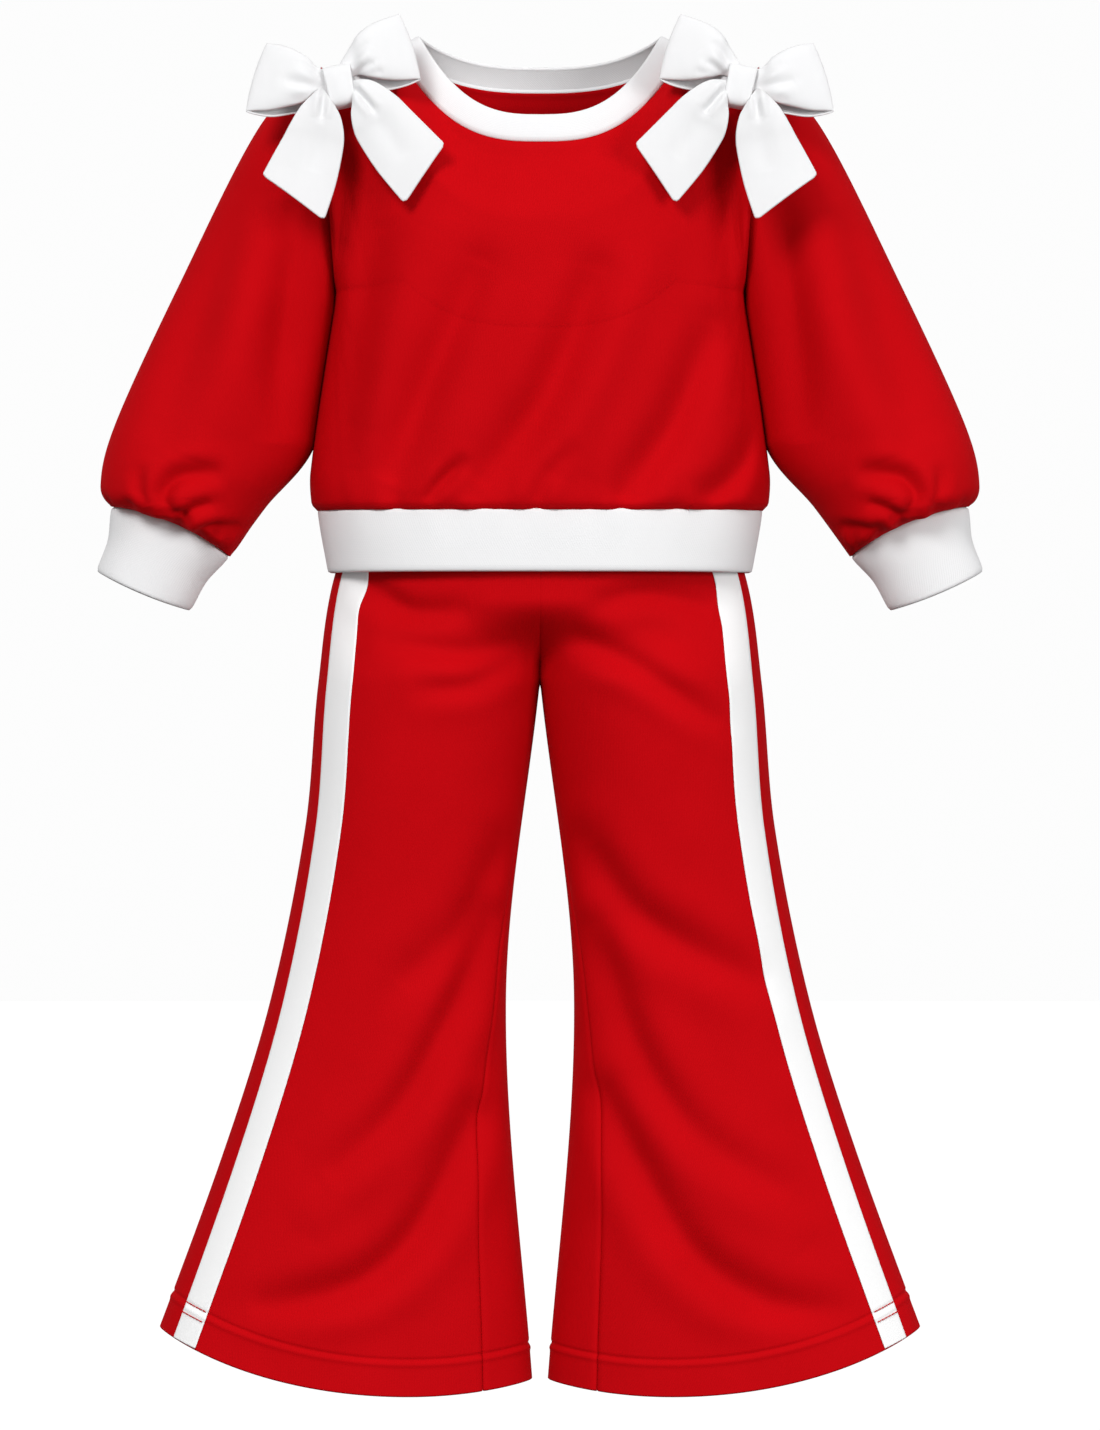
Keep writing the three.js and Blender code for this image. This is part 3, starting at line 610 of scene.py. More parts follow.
def body_panel(side):
    share = -side * panel_shares(110)[None, :]
    rise = even_steps(150)[:, None]
    top, _ = panel_top(share * SHOULDER_HALF_WIDTH, side)
    height = mix(BODY_BOTTOM, top, rise)
    x = share * panel_half_width(height)
    depth = body_depth(share, height, side)
    fade = ease(1 - np.abs(share), 0, 0.10) * ease(top - height, 0, 0.03)
    near_band = ease(height, BODY_BOTTOM, BAND_TOP + 0.008)
    folds = BODY_FOLD_GAIN * fold_depth(x, height, BODY_FOLDS[side])
    lift = folds * fade * near_band + hem_gathers(x, height, side)
    y = side * np.maximum(depth + lift, SEAM / 2)
    outer = seam_dip(points(x, y, height), ["start_row", "end_row"], 0.0016, 0.0028)
    outer = seam_dip(outer, ["start_column", "end_column"], 0.0006, 0.0018)
    outer[..., 1] = side * np.maximum(side * outer[..., 1], SEAM / 2)
    label = "front" if side == FRONT else "back"
    cloth(f"{label}_body_cloth", outer, KNIT, "red_knit", "pullover", f"{label}_body_panel")


def oval_ring(low, high, half_width, half_depth, oval, columns, rows):
    turn = math.pi / 2 + even_steps(columns + 1, 0, math.tau)[:-1][None, :]
    height = mix(low, high, even_steps(rows))[:, None]
    x = half_width(height) * signed_power(np.sin(turn), 2 / oval)
    y = -half_depth(height) * signed_power(np.cos(turn), 2 / oval)
    return points(x, y, height)


def hem_band():
    """The doubled band: folded at the bottom, its face drawn in a little where the body is sewn on."""
    bottom_half_width = BAND_HALF_WIDTH - 0.0065
    width = profile((BAND_BOTTOM, bottom_half_width - 0.0008), (BAND_BOTTOM + 0.003, bottom_half_width),
                    (BAND_TOP - 0.003, BAND_HALF_WIDTH - 0.0004), (BAND_TOP, BAND_HALF_WIDTH - 0.0022))
    depth = profile((BAND_BOTTOM, BAND_HALF_DEPTH - 0.0008), (BAND_BOTTOM + 0.003, BAND_HALF_DEPTH),
                    (BAND_TOP - 0.003, BAND_HALF_DEPTH - 0.0004), (BAND_TOP, BAND_HALF_DEPTH - 0.0022))
    outer = oval_ring(BAND_BOTTOM, BAND_TOP, width, depth, BODY_OVAL, 420, 34)
    x, height = outer[..., 0], outer[..., 2]
    pull = np.sin(x * 150 + 0.6) + 0.6 * np.sin(x * 263 + 2.0)
    outer[..., 1] *= 1 + 0.004 * pull * ease(height, BAND_BOTTOM + 0.012, BAND_TOP)
    cloth("hem_band_knit", outer, RIB, "white_rib", "pullover", "hem_band", closed=True)


def neckband():
    turn = math.pi / 2 + even_steps(360, 0, math.tau)[:-1][None, :]
    rise = even_steps(24)[:, None]
    share, forward = np.sin(turn), np.cos(turn)
    front = forward >= 0
    low_front, low_back = neck_seam(share, FRONT), neck_seam(share, BACK)
    low_height = np.where(front, low_front[0], low_back[0])
    low_y = np.where(front, -low_front[1], low_back[1])
    middle = np.where(front, NECK_EDGE[FRONT][0], NECK_EDGE[BACK][0])
    high_height = middle + (NECKBAND_TOP - middle) * np.abs(share) ** NECK_CURVE
    high_y = -forward * np.where(front, NECK_EDGE[FRONT][1], NECK_EDGE[BACK][1])
    low = points(share * NECK_HALF_WIDTH, low_y, low_height)
    high = points(share * NECKBAND_HALF_WIDTH, high_y, high_height)
    outer = mix(low, high, mix(-0.03, 1.0, rise)[..., None])
    normals = grid_normals(outer, True)
    crown = 0.0009 * np.sin(np.pi * np.clip(rise, 0, 1)) ** 0.5 - 0.0010 * (1 - ease(rise, 0, 0.14))
    outer = outer + normals * (crown * np.ones(turn.shape))[..., None]
    cloth("neckband_knit", outer, RIB, "white_rib", "pullover", "neckband", closed=True)


# ---- Sleeves and cuffs

CUFF_AXIS = np.array([math.sin(CUFF_TILT), 0, -math.cos(CUFF_TILT)])
CUFF_ACROSS = np.array([math.cos(CUFF_TILT), 0, math.sin(CUFF_TILT)])
CUFF_TOP = np.array([SHOULDER_HALF_WIDTH + 0.3186 * SLEEVE_REACH, 0, SHOULDER_TOP - 0.976 * SLEEVE_DROP])
SLEEVE_EASE, ARMHOLE_GAP = -0.0008, -0.0006

# Folds of a sleeve, in its wearer's-left place; the second list is the back's.
SLEEVE_FOLDS = {
    FRONT: [
        ([(0.158, 0.790), (0.162, 0.740), (0.166, 0.690), (0.170, 0.630)], 0.0150, -0.0060),
        ([(0.216, 0.607), (0.236, 0.605), (0.246, 0.596), (0.247, 0.586), (0.241, 0.573)], 0.0060, -0.0042),
        ([(0.238, 0.570), (0.229, 0.580), (0.214, 0.587)], 0.0042, -0.0026),
        ([(0.229, 0.562), (0.214, 0.567), (0.196, 0.571)], 0.0038, -0.0020),
        ([(0.262, 0.606), (0.262, 0.594), (0.258, 0.582)], 0.0045, -0.0018),
        ([(0.196, 0.790), (0.224, 0.720), (0.246, 0.650)], 0.0150, -0.0026),
        ([(0.190, 0.720), (0.214, 0.650), (0.226, 0.618)], 0.0150, 0.0024),
    ],
    BACK: [
        ([(0.172, 0.730), (0.196, 0.670), (0.208, 0.620)], 0.0110, -0.0050),
        ([(0.212, 0.610), (0.228, 0.592), (0.238, 0.574)], 0.0055, -0.0040),
        ([(0.256, 0.616), (0.256, 0.598), (0.252, 0.582)], 0.0052, -0.0040),
        ([(0.202, 0.600), (0.214, 0.584), (0.222, 0.568)], 0.0045, -0.0030),
        ([(0.230, 0.720), (0.246, 0.670), (0.262, 0.630)], 0.0120, -0.0030),
    ],
}
CUFF_OVERLAP = 0.0014


def cuff_seam_rise(turn):
    """How far the cuff's seam bows towards the sleeve in front and behind, along the cuff's axis."""
    return -0.0058 * np.sin(turn) ** 2 - 0.0026


def sleeve_lines(t):
    """The sleeve's outer and inner lines seen from the front, as (x, height), for t from armhole to cuff."""
    tip = np.array([SHOULDER_HALF_WIDTH + ARMHOLE_GAP, SHOULDER_TOP])
    shares = [(0, 0), (0.13, -0.125), (0.3, -0.455), (0.435, -0.745), (0.467, -0.875)]
    half = CUFF_ACROSS * CUFF_TOP_HALF[0]
    outer = [tip + np.array(share) * (SLEEVE_REACH, SLEEVE_DROP) for share in shares]
    outer.append((CUFF_TOP + half)[[0, 2]])
    leave = BAND_TOP + SEAM + BULGE_RISE
    heights = [UNDERARM, (UNDERARM * 2 + leave) / 3, leave + 0.017]
    inner = [(float(side_half_width(height)) + SLEEVE_EASE, height) for height in heights]
    end = (CUFF_TOP - half)[[0, 2]]
    inner += [(mix(inner[2][0], end[0], 0.55) + 0.0015, mix(inner[2][1], end[1], 0.55)), tuple(end)]
    return curve(outer, t), curve(inner, t)


def sleeve(hand):
    """A balloon sleeve: set into the armhole, full above the cuff and gathered into it."""
    t = np.concatenate([even_steps(140, 0, 0.92)[:-1], even_steps(64, 0.92, 1.0)])[:, None]
    turn = math.pi + even_steps(260, 0, math.tau)[:-1][None, :]
    outer_line, inner_line = sleeve_lines(t[:, 0])
    inner_x = np.maximum(inner_line[:, 0], panel_half_width(inner_line[:, 1]) + SLEEVE_EASE)
    reach = np.cos(turn)
    middle_x, half_x = (outer_line[:, 0] + inner_x) / 2, (outer_line[:, 0] - inner_x) / 2
    middle_z, half_z = (outer_line[:, 1] + inner_line[:, 1]) / 2, (outer_line[:, 1] - inner_line[:, 1]) / 2
    half_depth = profile((0, ARMHOLE_HALF_DEPTH), (0.3, 0.048), (0.8, 0.056), (0.93, 0.0485),
                         (1, CUFF_TOP_HALF[1]))(t)
    x = middle_x[:, None] + half_x[:, None] * reach
    height = middle_z[:, None] + half_z[:, None] * reach
    surface = points(x, -half_depth * np.sin(turn), height)
    surface += CUFF_AXIS * ((cuff_seam_rise(turn) + CUFF_OVERLAP) * ease(t, 0.75, 1.0))[..., None]
    normals = grid_normals(surface, True)
    facing = -np.sin(turn) * np.ones(t.shape)
    calm = ease(np.abs(facing), 0.05, 0.45) * ease(t, 0.02, 0.15) * ease(1 - t, 0.0, 0.035)
    lift = np.where(facing < 0, fold_depth(x, height, SLEEVE_FOLDS[FRONT]),
                    fold_depth(x, height, SLEEVE_FOLDS[BACK]))
    seed = 0.9 if hand == LEFT else 2.7
    pleats = (np.sin(9 * turn + seed) + 0.8 * np.sin(14 * turn + 2 * seed)
              + 0.45 * np.sin(23 * turn + 3.3 * seed))
    gather = (0.0009 * pleats * ease(t, 0.80, 0.92) * (1 - ease(t, 0.92, 0.995))
              * (0.35 + 0.65 * np.abs(facing)))
    sag = 0.0016 * np.exp(-((t - 0.950) / 0.030) ** 2) * facing ** 2
    tuck = -0.0014 * (1 - ease(1 - t, 0, 0.010)) ** 1.5 - 0.0010 * (1 - ease(t, 0, 0.014))
    surface += normals * (lift * calm + gather + sag + tuck)[..., None]
    name = SIDE_NAMES[hand]
    piece = cloth(f"{name}_sleeve_cloth", surface, KNIT, "red_knit", None, f"{name}_sleeve", closed=True,
                  mirror=hand == RIGHT)
    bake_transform(piece)


def cuff(hand):
    down = even_steps(36)[:, None]
    turn = math.pi + even_steps(220, 0, math.tau)[:-1][None, :]
    half_width = profile((0, CUFF_TOP_HALF[0] - 0.0024), (0.06, CUFF_TOP_HALF[0] - 0.0008),
                         (0.5, CUFF_BOTTOM_HALF[0] + 0.002),
                         (0.94, CUFF_BOTTOM_HALF[0] + 0.0004), (1, CUFF_BOTTOM_HALF[0] - 0.0008))(down)
    depth = mix(CUFF_TOP_HALF[1], CUFF_BOTTOM_HALF[1], down) - 0.0016 * (1 - ease(down, 0, 0.06))
    pull = 1 + 0.010 * np.sin(9 * turn + 0.4) * (1 - ease(down, 0, 0.5))
    start = cuff_seam_rise(turn) + 0.0002
    end = CUFF_HEIGHT + 0.0015 + 0.0012 * np.sin(turn) ** 2
    drift = CUFF_ACROSS * (0.0012 * down)[..., None]
    centre = CUFF_TOP + CUFF_AXIS * mix(start, end, down)[..., None] + drift
    across = half_width * np.cos(turn)
    forward = depth * np.sin(turn) * pull
    surface = centre + CUFF_ACROSS * across[..., None] + np.array([0, -1, 0]) * forward[..., None]
    name = SIDE_NAMES[hand]
    cloth(f"{name}_cuff_knit", surface, RIB, "white_rib", f"{name}_arm", f"{name}_cuff", closed=True,
          mirror=hand == RIGHT)


# ---- Bows, laid out in their own frame (a away from the neck, b up, forward) and turned into place

knot_low, knot_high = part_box("left_bow_knot")
BOW_CENTRE = (0.131, (knot_low.y + knot_high.y) / 2, 0.857)
BOW_TILT = math.radians(14)
KNOT_HALF = (0.0083, 0.0143, 0.0082)
KNOT_TURN = math.radians(11)

LOOPS = {
    "outer": {
        "top": [(0.004, 0.010), (0.0144, 0.0128), (0.0213, 0.0195), (0.0306, 0.0251), (0.0399, 0.0284),
                (0.0483, 0.0298)],
        "front_bottom": [(0.004, -0.005), (0.0144, -0.0085), (0.0213, -0.0112), (0.0306, -0.0135),
                         (0.046, -0.016),
                         (0.0605, -0.0150)],
        "back_bottom": [(0.004, -0.007), (0.0144, -0.0115), (0.0213, -0.015), (0.0306, -0.0178),
                        (0.046, -0.0206),
                        (0.0620, -0.0184)],
        "creases": [([(0.0085, 0.001), (0.020, 0.0002), (0.036, 0.004)], 0.0034, -0.0014),
                    ([(0.009, 0.006), (0.017, 0.010), (0.027, 0.016)], 0.0028, -0.0010),
                    ([(0.010, -0.004), (0.020, -0.0075), (0.032, -0.010)], 0.0028, -0.0009)],
    },
    "inner": {
        "top": [(0.002, 0.0125), (-0.0064, 0.0266), (-0.0111, 0.0346), (-0.0188, 0.0412), (-0.0272, 0.0455),
                (-0.0389, 0.0499)],
        "front_bottom": [(-0.002, 0.002), (-0.0110, 0.0080), (-0.0188, 0.0056), (-0.0296, 0.0040),
                         (-0.0410, 0.0045),
                         (-0.0525, 0.0068)],
        "back_bottom": [(-0.002, 0.000), (-0.0110, 0.0035), (-0.0188, -0.0006), (-0.0296, -0.0020),
                        (-0.0430, 0.0002), (-0.0534, 0.0038)],
        "creases": [([(-0.0080, 0.0072), (-0.0150, 0.0120), (-0.0225, 0.0156)], 0.0026, -0.0020),
                    ([(-0.0060, 0.0130), (-0.0110, 0.0220), (-0.0180, 0.0300)], 0.0030, -0.0010),
                    ([(-0.0100, 0.0048), (-0.0180, 0.0085), (-0.0290, 0.0092)], 0.0026, -0.0010)],
    },
}
TAILS = {
    "outer": {
        "left": [(0.0100, -0.0030), (0.0066, -0.0095), (0.0024, -0.0160), (-0.0008, -0.0235),
                 (-0.0026, -0.0340),
                 (-0.0018, -0.0450), (0.0028, -0.0670), (0.0100, -0.0900)],
        "right": [(0.0118, -0.0020), (0.0178, -0.0075), (0.0235, -0.0135), (0.0275, -0.0195),
                  (0.0322, -0.0280),
                  (0.0362, -0.0355), (0.0432, -0.0480), (0.0499, -0.0606)],
        "creases": [([(0.0105, -0.0020), (0.0106, -0.0120), (0.0118, -0.0230)], 0.0024, -0.0021),
                    ([(0.0120, -0.0180), (0.0140, -0.0360), (0.0180, -0.0560)], 0.0065, -0.0008)],
    },
    "inner": {
        "left": [(-0.0078, 0.0022), (-0.0140, 0.0030), (-0.0205, 0.0022), (-0.0281, -0.0018),
                 (-0.0373, -0.0085),
                 (-0.0450, -0.0160), (-0.0565, -0.0275), (-0.0685, -0.0396)],
        "right": [(-0.0072, -0.0020), (-0.0084, -0.0068), (-0.0083, -0.0125), (-0.0078, -0.0205),
                  (-0.0094, -0.0300),
                  (-0.0130, -0.0385), (-0.0250, -0.0570), (-0.0425, -0.0783)],
        "creases": [([(-0.0085, -0.0005), (-0.0160, -0.0100), (-0.0235, -0.0185)], 0.0024, -0.0021),
                    ([(-0.0200, -0.0140), (-0.0320, -0.0300), (-0.0420, -0.0470)], 0.0065, -0.0008)],
    },
}


def on_bow(a, b, forward):
    """Points of the wearer's-left bow, with heights above the hem."""
    y = BOW_CENTRE[1] + b * math.sin(BOW_TILT) - forward * math.cos(BOW_TILT)
    z = BOW_CENTRE[2] + b * math.cos(BOW_TILT) + forward * math.sin(BOW_TILT)
    return points(BOW_CENTRE[0] + a, y, z)


def bow_knot(hand):
    """The band round the middle of the bow, a flattened ring that leans away from the neck."""
    turn = math.pi + even_steps(140, 0, math.tau)[:-1][None, :]
    along = even_steps(30, -1, 1)[:, None]
    up, ahead = signed_power(np.cos(turn), 0.55), signed_power(np.sin(turn), 0.55)
    swell = 1 - 0.07 * np.abs(along) ** 3
    high = KNOT_HALF[1] * up * (1 - 0.02 * along ** 2)
    soft = 0.00035 * np.sin(4.2 * along + 0.9) * np.cos(1.6 * up) * (ahead > 0)
    wide = KNOT_HALF[0] * along * (1 + 0.07 * up)
    forward = KNOT_HALF[2] * ahead * swell + soft
    a = wide * math.cos(KNOT_TURN) + high * math.sin(KNOT_TURN)
    b = high * math.cos(KNOT_TURN) - wide * math.sin(KNOT_TURN)
    name = SIDE_NAMES[hand]
    cloth(f"{name}_bow_knot_cloth", on_bow(a, b, forward), 0.0016, "white_bow_cloth", "pullover",
          f"{name}_bow_knot", closed=True, mirror=hand == RIGHT)


def bow_loop(hand, which):
    """A ribbon loop: out of the knot in front, round a soft fold at its end and back, a little lower."""
    shape = LOOPS[which]
    turn = even_steps(160, 0, math.pi)[None, :]
    across = even_steps(70, -1, 1)[:, None]
    reach = np.clip(np.sin(turn), 0, 1) ** 0.72
    behind = ((1 - np.cos(turn)) / 2)[..., None]
    top = curve(shape["top"], reach)
    bottom = mix(curve(shape["front_bottom"], reach), curve(shape["back_bottom"], reach), behind)
    place = mix(bottom, top, ((across + 1) / 2)[..., None])
    away = 1 if which == "outer" else -1
    lean = np.array([away * 0.98, 0.10]) if which == "outer" else np.array([-0.90, 0.43])
    place = place + lean * (0.0020 * (1 - across ** 2) * ease(reach, 0.6, 1.0))[..., None]
    fullness = np.sin(np.pi * reach ** 1.15) * 0.5 + ease(reach, 0.02, 0.5) * 0.5
    round_edges = np.clip(1 - np.abs(across) ** 3.2, 0, 1) ** 0.5 * 0.62 + 0.38
    forward = np.cos(turn) * mix(0.0024, 0.0100, fullness) * round_edges
    a, b = place[..., 0], place[..., 1]
    forward = forward + fold_depth(a, b, shape["creases"]) * np.cos(turn) * ease(1 - reach, 0.03, 0.25)
    grid = on_bow(a, b, forward)
    if which == "inner":
        grid = grid[::-1]
    name = SIDE_NAMES[hand]
    cloth(f"{name}_bow_{which}_loop_cloth", grid, RIBBON, "white_bow_cloth", "pullover",
          f"{name}_bow_{which}_loop", mirror=hand == RIGHT)


def bow_tail(hand, which):
    """A hanging tail: pinched and creased where it leaves the knot, cambered, and cut off at a slant."""
    shape = TAILS[which]
    across = even_steps(64, 0, 1)[None, :]
    corners = np.exp(-(across / 0.035) ** 2) + np.exp(-((1 - across) / 0.035) ** 2)
    t = even_steps(120)[:, None] * (1 - 0.014 * corners)
    place = mix(curve(shape["left"], t), curve(shape["right"], t), across[..., None])
    a, b = place[..., 0], place[..., 1]
    twist = 1 if which == "outer" else -1
    arch = 0.0048 + 0.0030 * np.sin(np.pi * t ** 0.6) - 0.0046 * ease(t, 0.35, 1.0)
    camber = 0.0034 * np.sin(np.pi * across) * mix(1.0, 0.35, t) * ease(t, 0.0, 0.2)
    wave = 0.0012 * np.sin(4.0 * t + 2.5 * across + twist * 2) * t + twist * 0.0022 * (across - 0.5) * t
    forward = arch + camber + wave + fold_depth(a, b, shape["creases"])
    grid = on_bow(a, b, forward)[::-1]
    name = SIDE_NAMES[hand]
    piece = cloth(f"{name}_bow_{which}_tail_cloth", grid, RIBBON, "white_bow_cloth", None,
                  f"{name}_bow_{which}_tail",
                  mirror=hand == RIGHT)
    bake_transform(piece)


def bow(hand):
    bow_knot(hand)
    for which in ("outer", "inner"):
        bow_loop(hand, which)
        bow_tail(hand, which)


# ---- Trousers

leg_outer = profile(
    (0, HEM_OUTER), (KNEE * 0.6, mix(HEM_OUTER, KNEE_OUTER, 0.64)), (KNEE, KNEE_OUTER),
    (mix(KNEE, CROTCH, 0.55), mix(KNEE_OUTER, THIGH_HALF_WIDTH, 0.73)), (CROTCH, THIGH_HALF_WIDTH),
    (BAND_BOTTOM, BAND_HALF_WIDTH - 0.0065 - 0.0024 - 0.0032), (WAIST_BOTTOM, WAIST_HALF_WIDTH))
leg_inner = profile((0, HEM_INNER), (KNEE, KNEE_INNER), (CROTCH, SEAM / 2))
leg_half_depth = profile(
    (0, HEM_HALF_DEPTH), (KNEE, KNEE_HALF_DEPTH), (CROTCH, SEAT_HALF_DEPTH), (BAND_BOTTOM, SEAT_HALF_DEPTH),
    (WAIST_BOTTOM, WAIST_HALF_DEPTH))

# Folds of the trousers' front, by the wearer's side, in the wearer's-left place; and the back's.
LEG_FOLDS = {
    (RIGHT, FRONT): [
        ([(0.030, 0.315), (0.062, 0.245), (0.095, 0.190), (0.140, 0.146)], 0.0115, -0.0060),
        ([(0.042, 0.186), (0.078, 0.115), (0.120, 0.078), (0.192, 0.060)], 0.0115, -0.0058),
        ([(0.024, 0.365), (0.052, 0.312), (0.092, 0.272)], 0.0115, -0.0030),
        ([(0.115, 0.535), (0.085, 0.517), (0.046, 0.520)], 0.0080, -0.0032),
        ([(0.095, 0.497), (0.048, 0.489), (0.010, 0.500)], 0.0075, -0.0022),
        ([(0.074, 0.466), (0.042, 0.470), (0.012, 0.487)], 0.0075, -0.0022),
        ([(0.046, 0.280), (0.090, 0.200), (0.150, 0.110)], 0.0180, 0.0028),
    ],
    (LEFT, FRONT): [
        ([(0.018, 0.503), (0.066, 0.479), (0.120, 0.442)], 0.0080, -0.0034),
        ([(0.030, 0.366), (0.066, 0.318), (0.152, 0.271)], 0.0120, -0.0042),
        ([(0.036, 0.310), (0.068, 0.225), (0.110, 0.170), (0.165, 0.135)], 0.0120, -0.0042),
        ([(0.042, 0.200), (0.090, 0.110), (0.140, 0.070), (0.206, 0.053)], 0.0120, -0.0052),
        ([(0.036, 0.521), (0.073, 0.528), (0.115, 0.519)], 0.0080, -0.0030),
        ([(0.060, 0.270), (0.110, 0.170), (0.170, 0.100)], 0.0180, 0.0024),
    ],
    (RIGHT, BACK): [
        ([(0.035, 0.420), (0.070, 0.380), (0.120, 0.360)], 0.0120, -0.0040),
        ([(0.035, 0.270), (0.075, 0.190), (0.150, 0.120)], 0.0125, -0.0050),
        ([(0.030, 0.480), (0.070, 0.462), (0.115, 0.468)], 0.0100, -0.0030),
    ],
    (LEFT, BACK): [
        ([(0.035, 0.410), (0.075, 0.385), (0.125, 0.375)], 0.0120, -0.0038),
        ([(0.038, 0.250), (0.080, 0.170), (0.160, 0.105)], 0.0125, -0.0048),
        ([(0.030, 0.490), (0.075, 0.470), (0.118, 0.480)], 0.0100, -0.0028),
    ],
}


def inseam_turn(height):
    return math.radians(41) * ease(CROTCH - height, 0, CROTCH * 0.75)


def hem_height(cosine):
    away = cosine - HEM_LOWEST
    outer = HEM_SIDE_RISE * (np.maximum(away, 0) / (1 - HEM_LOWEST)) ** 2
    inner = HEM_INSEAM_RISE * (np.minimum(away, 0) / (1 + HEM_LOWEST)) ** 2
    return outer + inner


def leg_point(turn, height, hand, raised=0.0, folded=True):
    """The trousers' cloth on one side, in the wearer's-left place, with its folds.
    turn is 0 at the side seam and pi at the inner edge.
    Above the crotch the section is a quarter of the seat's oval."""
    outer, inner, depth = leg_outer(height), leg_inner(height), leg_half_depth(height)
    turn = turn * np.ones(np.shape(height))
    leg_x = (outer + inner) / 2 + (outer - inner) / 2 * np.cos(turn)
    leg_y = depth * np.sin(turn)
    quarter = np.where(turn <= math.pi, turn / 2, math.pi - turn / 2)
    seat_x = outer * np.cos(quarter)
    seat_y = depth * np.sin(quarter) * np.sign(math.pi - turn)
    split = ease(CROTCH + 0.056 - height, 0, 0.056)
    x, forward = mix(seat_x, leg_x, split), mix(seat_y, leg_y, split)
    facing = np.abs(np.sin(np.where(split > 0.5, turn, quarter * 2)))
    calm = np.where(np.cos(turn) > 0, ease(facing, 0.5, 0.9), ease(facing, 0.12, 0.6))
    seen = 0 * x
    if folded:
        seen = np.where(turn <= math.pi, fold_depth(x, height, LEG_FOLDS[hand, FRONT]),
                        fold_depth(x, height, LEG_FOLDS[hand, BACK]))
    above = height - hem_height(np.cos(turn))
    still = ease(above, HEM_TURN_UP * 0.6, HEM_TURN_UP * 2.2)
    lift = seen * calm * still
    ridge = 0.0006 * np.exp(-((above - HEM_TURN_UP + 0.0022) / 0.0017) ** 2)
    groove = -0.0007 * np.exp(-((above - HEM_TURN_UP - 0.0012) / 0.0012) ** 2)
    lift = lift + ridge + groove + raised
    across = np.stack([-np.sin(turn) * (outer - inner) / 2, np.cos(turn) * depth], axis=-1)
    across = across / np.maximum(np.linalg.norm(across, axis=-1, keepdims=True), 1e-9)
    normal_x = mix(np.cos(quarter), across[..., 1], split)
    normal_y = mix(np.sin(quarter) * np.sign(math.pi - turn), -across[..., 0], split)
    size = np.maximum(np.sqrt(normal_x ** 2 + normal_y ** 2), 1e-6)
    x, forward = x + lift * normal_x / size, forward + lift * normal_y / size
    return points(np.maximum(x, SEAM / 2), -forward, height)


def panel_turns(side, height, across):
    seam = math.pi - inseam_turn(height)
    sewn = SEAM / KNEE_HALF_DEPTH / 2
    return across * (seam - sewn) if side == FRONT else mix(seam + sewn, math.tau, across)


def leg_rows(count):
    """Shares down the leg, close together at the hem where the turn-up is stitched."""
    return np.concatenate([even_steps(count, 0, 0.93)[:-1], even_steps(count // 3, 0.93, 1.0)])


def leg_panel(hand, side):
    across = even_steps(150)[None, :]
    down = leg_rows(210)[:, None]
    guess = panel_turns(side, np.zeros((1, 1)), across)
    height = mix(WAIST_BOTTOM - SEAM, hem_height(np.cos(guess)), down)
    turn = panel_turns(side, height, across)
    outer = leg_point(turn, height, hand)
    inner_edge, outer_edge = "end_column", "start_column"
    if side == BACK:
        inner_edge, outer_edge = outer_edge, inner_edge
    outer = seam_dip(outer, [inner_edge], 0.0010, 0.0014)
    outer = seam_dip(outer, [outer_edge], 0.0007, 0.0016)
    in_seat = outer[..., 2] > CROTCH
    inner_half = outer[..., 0] < (leg_outer(height) + leg_inner(height)) / 2
    held_y = side * np.maximum(side * outer[..., 1], SEAM / 2)
    outer[..., 1] = np.where(inner_half & ~in_seat, outer[..., 1], held_y)
    inward = outer[..., 0] - outer[:, -1:, 0] if side == FRONT else outer[..., 0] - outer[:, :1, 0]
    sewn = 0.0018 * np.exp(-(inward / 0.004) ** 2) * ease(outer[..., 2], CROTCH - 0.002, CROTCH + 0.006)
    outer[..., 0] = np.maximum(outer[..., 0] - sewn, SEAM / 2 - sewn)
    label, name = ("front" if side == FRONT else "back"), SIDE_NAMES[hand]
    cloth(f"{name}_{label}_leg_cloth", outer, KNIT, "red_knit", "trousers", f"{name}_{label}_leg_panel",
          mirror=hand == RIGHT)


def turn_at(x, height, hand):
    """The turn at which the front cloth reaches a given x, found by halving."""
    low, high = np.zeros(np.shape(height)), np.full(np.shape(height), math.pi / 2)
    for _ in range(26):
        middle = (low + high) / 2
        beyond = leg_point(middle, height, hand, folded=False)[..., 0] > x
        low, high = np.where(beyond, middle, low), np.where(beyond, high, middle)
    return low


def stripe_grid(hand, inset, down, raised):
    """Points on the stripe's path: inset from the outline and share down the leg."""
    middle = (2 * inset) / HEM_OUTER
    height = mix(WAIST_BOTTOM - SEAM, hem_height(1 - middle), down)
    height = np.broadcast_to(height, np.broadcast_shapes(np.shape(inset), np.shape(down))).copy()
    turn = turn_at(leg_outer(height) - inset, height, hand)
    return leg_point(turn, height, hand, raised)


def leg_stripe(hand):
    down = leg_rows(210)[:, None]
    across = even_steps(14)[None, :]
    inset = mix(STRIPE_INSET[0], STRIPE_INSET[1], down) + across * STRIPE_WIDTH
    name = SIDE_NAMES[hand]
    cloth(f"{name}_leg_stripe_knit", stripe_grid(hand, inset, down, STRIPE_CLOTH + 0.0003), STRIPE_CLOTH,
          "white_stripe", "trousers", f"{name}_leg_stripe",
          mirror=hand == RIGHT)


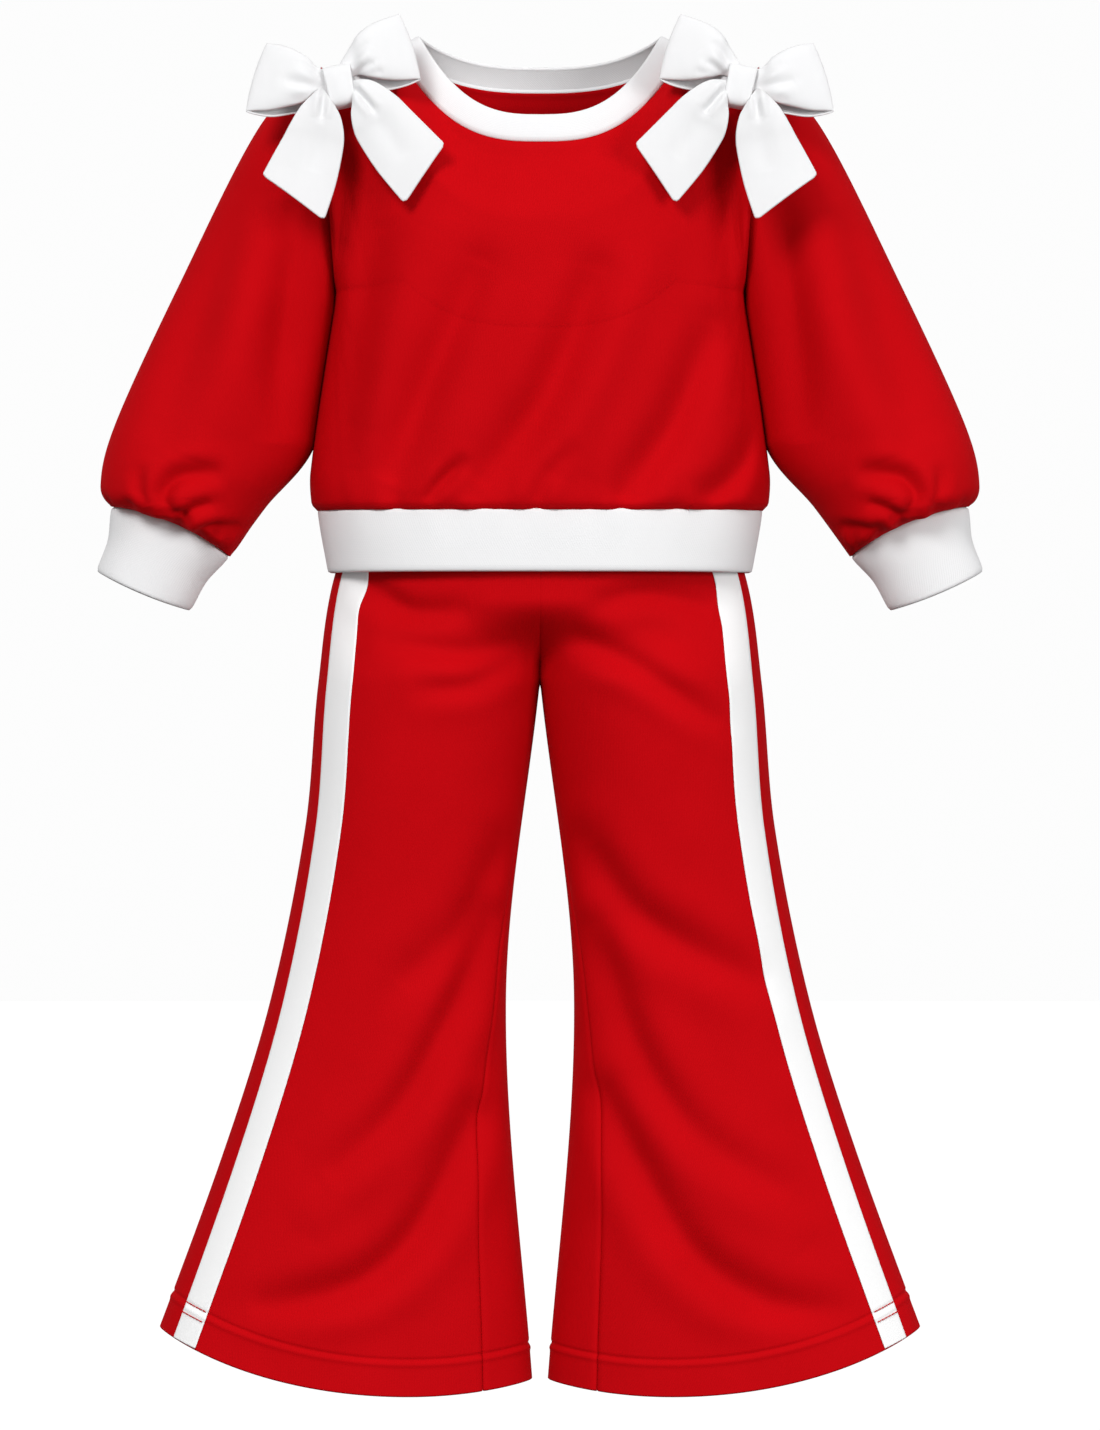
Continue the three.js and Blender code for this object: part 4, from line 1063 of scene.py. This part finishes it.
def waistband():
    """The casing over the elastic, gathered by it; open along its lower inside edge."""
    turn = math.pi + even_steps(340, 0, math.tau)[:-1][None, :]
    depth = 2 * KNIT + 0.0020
    fold = [(0, WAIST_BOTTOM), (-0.0006, WAIST_BOTTOM + 0.008), (0, WAIST_TOP - 0.002),
            (depth / 2, WAIST_TOP),
            (depth, WAIST_TOP - 0.002), (depth + 0.0004, WAIST_BOTTOM + 0.010), (depth, WAIST_BOTTOM + 0.001)]
    path = curve(fold, even_steps(60))
    inward, height = path[:, 0][:, None], path[:, 1][:, None]
    gathers = np.sin(34 * turn) + 0.7 * np.sin(53 * turn + 1.0) + 0.5 * np.sin(21 * turn + 2.2)
    rise = np.clip((height - WAIST_BOTTOM) / (WAIST_TOP - WAIST_BOTTOM), 0, 1)
    puff = 0.0006 * gathers * np.sin(np.pi * rise)
    wide, deep = WAIST_HALF_WIDTH - inward + puff - 0.0006, WAIST_HALF_DEPTH - inward + puff - 0.0006
    grid = points(wide * np.sin(turn), -deep * np.cos(turn), height)
    cloth("waistband_casing_cloth", grid, KNIT * 0.8, "red_knit", "trousers", "waistband_casing", closed=True)


# ---- Stitching


def thread(path, radius, mirror):
    """A round thread along a path of points."""
    path = np.array(path)
    ahead = np.gradient(path, axis=0)
    ahead /= np.linalg.norm(ahead, axis=-1, keepdims=True)
    side = np.cross(ahead, [0.3, -1, 0.2])
    side /= np.linalg.norm(side, axis=-1, keepdims=True)
    up = np.cross(side, ahead)
    turn = even_steps(7, 0, math.tau)[:-1]
    ring = side[:, None] * np.cos(turn)[None, :, None] + up[:, None] * np.sin(turn)[None, :, None]
    tube = path[:, None] + ring * radius
    if mirror:
        tube = tube * np.array([-1, 1, 1])
    rows, columns = tube.shape[:2]
    numbers = np.arange(rows * columns).reshape(rows, columns)
    quads = np.concatenate([strip_quads(numbers[j], numbers[j + 1], True) for j in range(rows - 1)])
    if not mirror:
        quads = quads[:, ::-1]
    return tube.reshape(-1, 3), quads, rows * columns


def stitch_rows(name, paths, radius, finish, slot, body, mirror, stitch=0.0026, gap=0.0006):
    """Rows of separate stitches: each path is cut into short raised threads."""
    vertices, quads, count = [], [], 0
    for path in paths:
        path = np.array(path)
        length = np.append(0, np.cumsum(np.linalg.norm(np.diff(path, axis=0), axis=-1)))
        starts = np.arange(0, length[-1] - stitch, stitch + gap)
        for start in starts:
            at = start + stitch * even_steps(5)
            piece = np.stack([np.interp(at, length, path[:, k]) for k in range(3)], axis=1)
            tube, faces, total = thread(piece, radius, mirror)
            vertices.append(tube)
            quads.append(faces + count)
            count += total
    vertices, quads = np.concatenate(vertices), np.concatenate(quads)
    lengths = {"across": np.zeros(len(vertices)), "along": vertices[:, 2]}
    make_mesh(name, vertices, quads, lengths, finish, (body, slot))


def hem_stitching(hand):
    """Two rows of red stitches round each hem: they show where they cross the white stripe."""
    name = SIDE_NAMES[hand]
    crossing = even_steps(30)
    rows = []
    for above in (HEM_TURN_UP + 0.0005, HEM_TURN_UP - 0.0060):
        inset = STRIPE_INSET[1] + crossing * STRIPE_WIDTH
        height = hem_height(1 - (2 * inset) / HEM_OUTER) + above
        turn = turn_at(leg_outer(height) - inset, height, hand)
        rows.append(leg_point(turn, height, hand, STRIPE_CLOTH + 0.0006))
    stitch_rows(f"{name}_hem_stripe_stitches", rows, 0.00042, "red_thread", "red_knit", "trousers",
                hand == RIGHT)


# ---- Build

make_camera()
make_stage()
for panel_side in (FRONT, BACK):
    body_panel(panel_side)
hem_band()
neckband()
waistband()
for hand_side in (LEFT, RIGHT):
    sleeve(hand_side)
    cuff(hand_side)
    bow(hand_side)
    for panel_side in (FRONT, BACK):
        leg_panel(hand_side, panel_side)
    leg_stripe(hand_side)
    hem_stitching(hand_side)

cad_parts["waist_elastic"].data.materials.clear()
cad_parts["waist_elastic"].data.materials.append(FINISHES["elastic"])
for hand_side in (LEFT, RIGHT):
    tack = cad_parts[f"{SIDE_NAMES[hand_side]}_bow_tack"]
    tack.data.materials.clear()
    tack.data.materials.append(FINISHES["white_thread"])
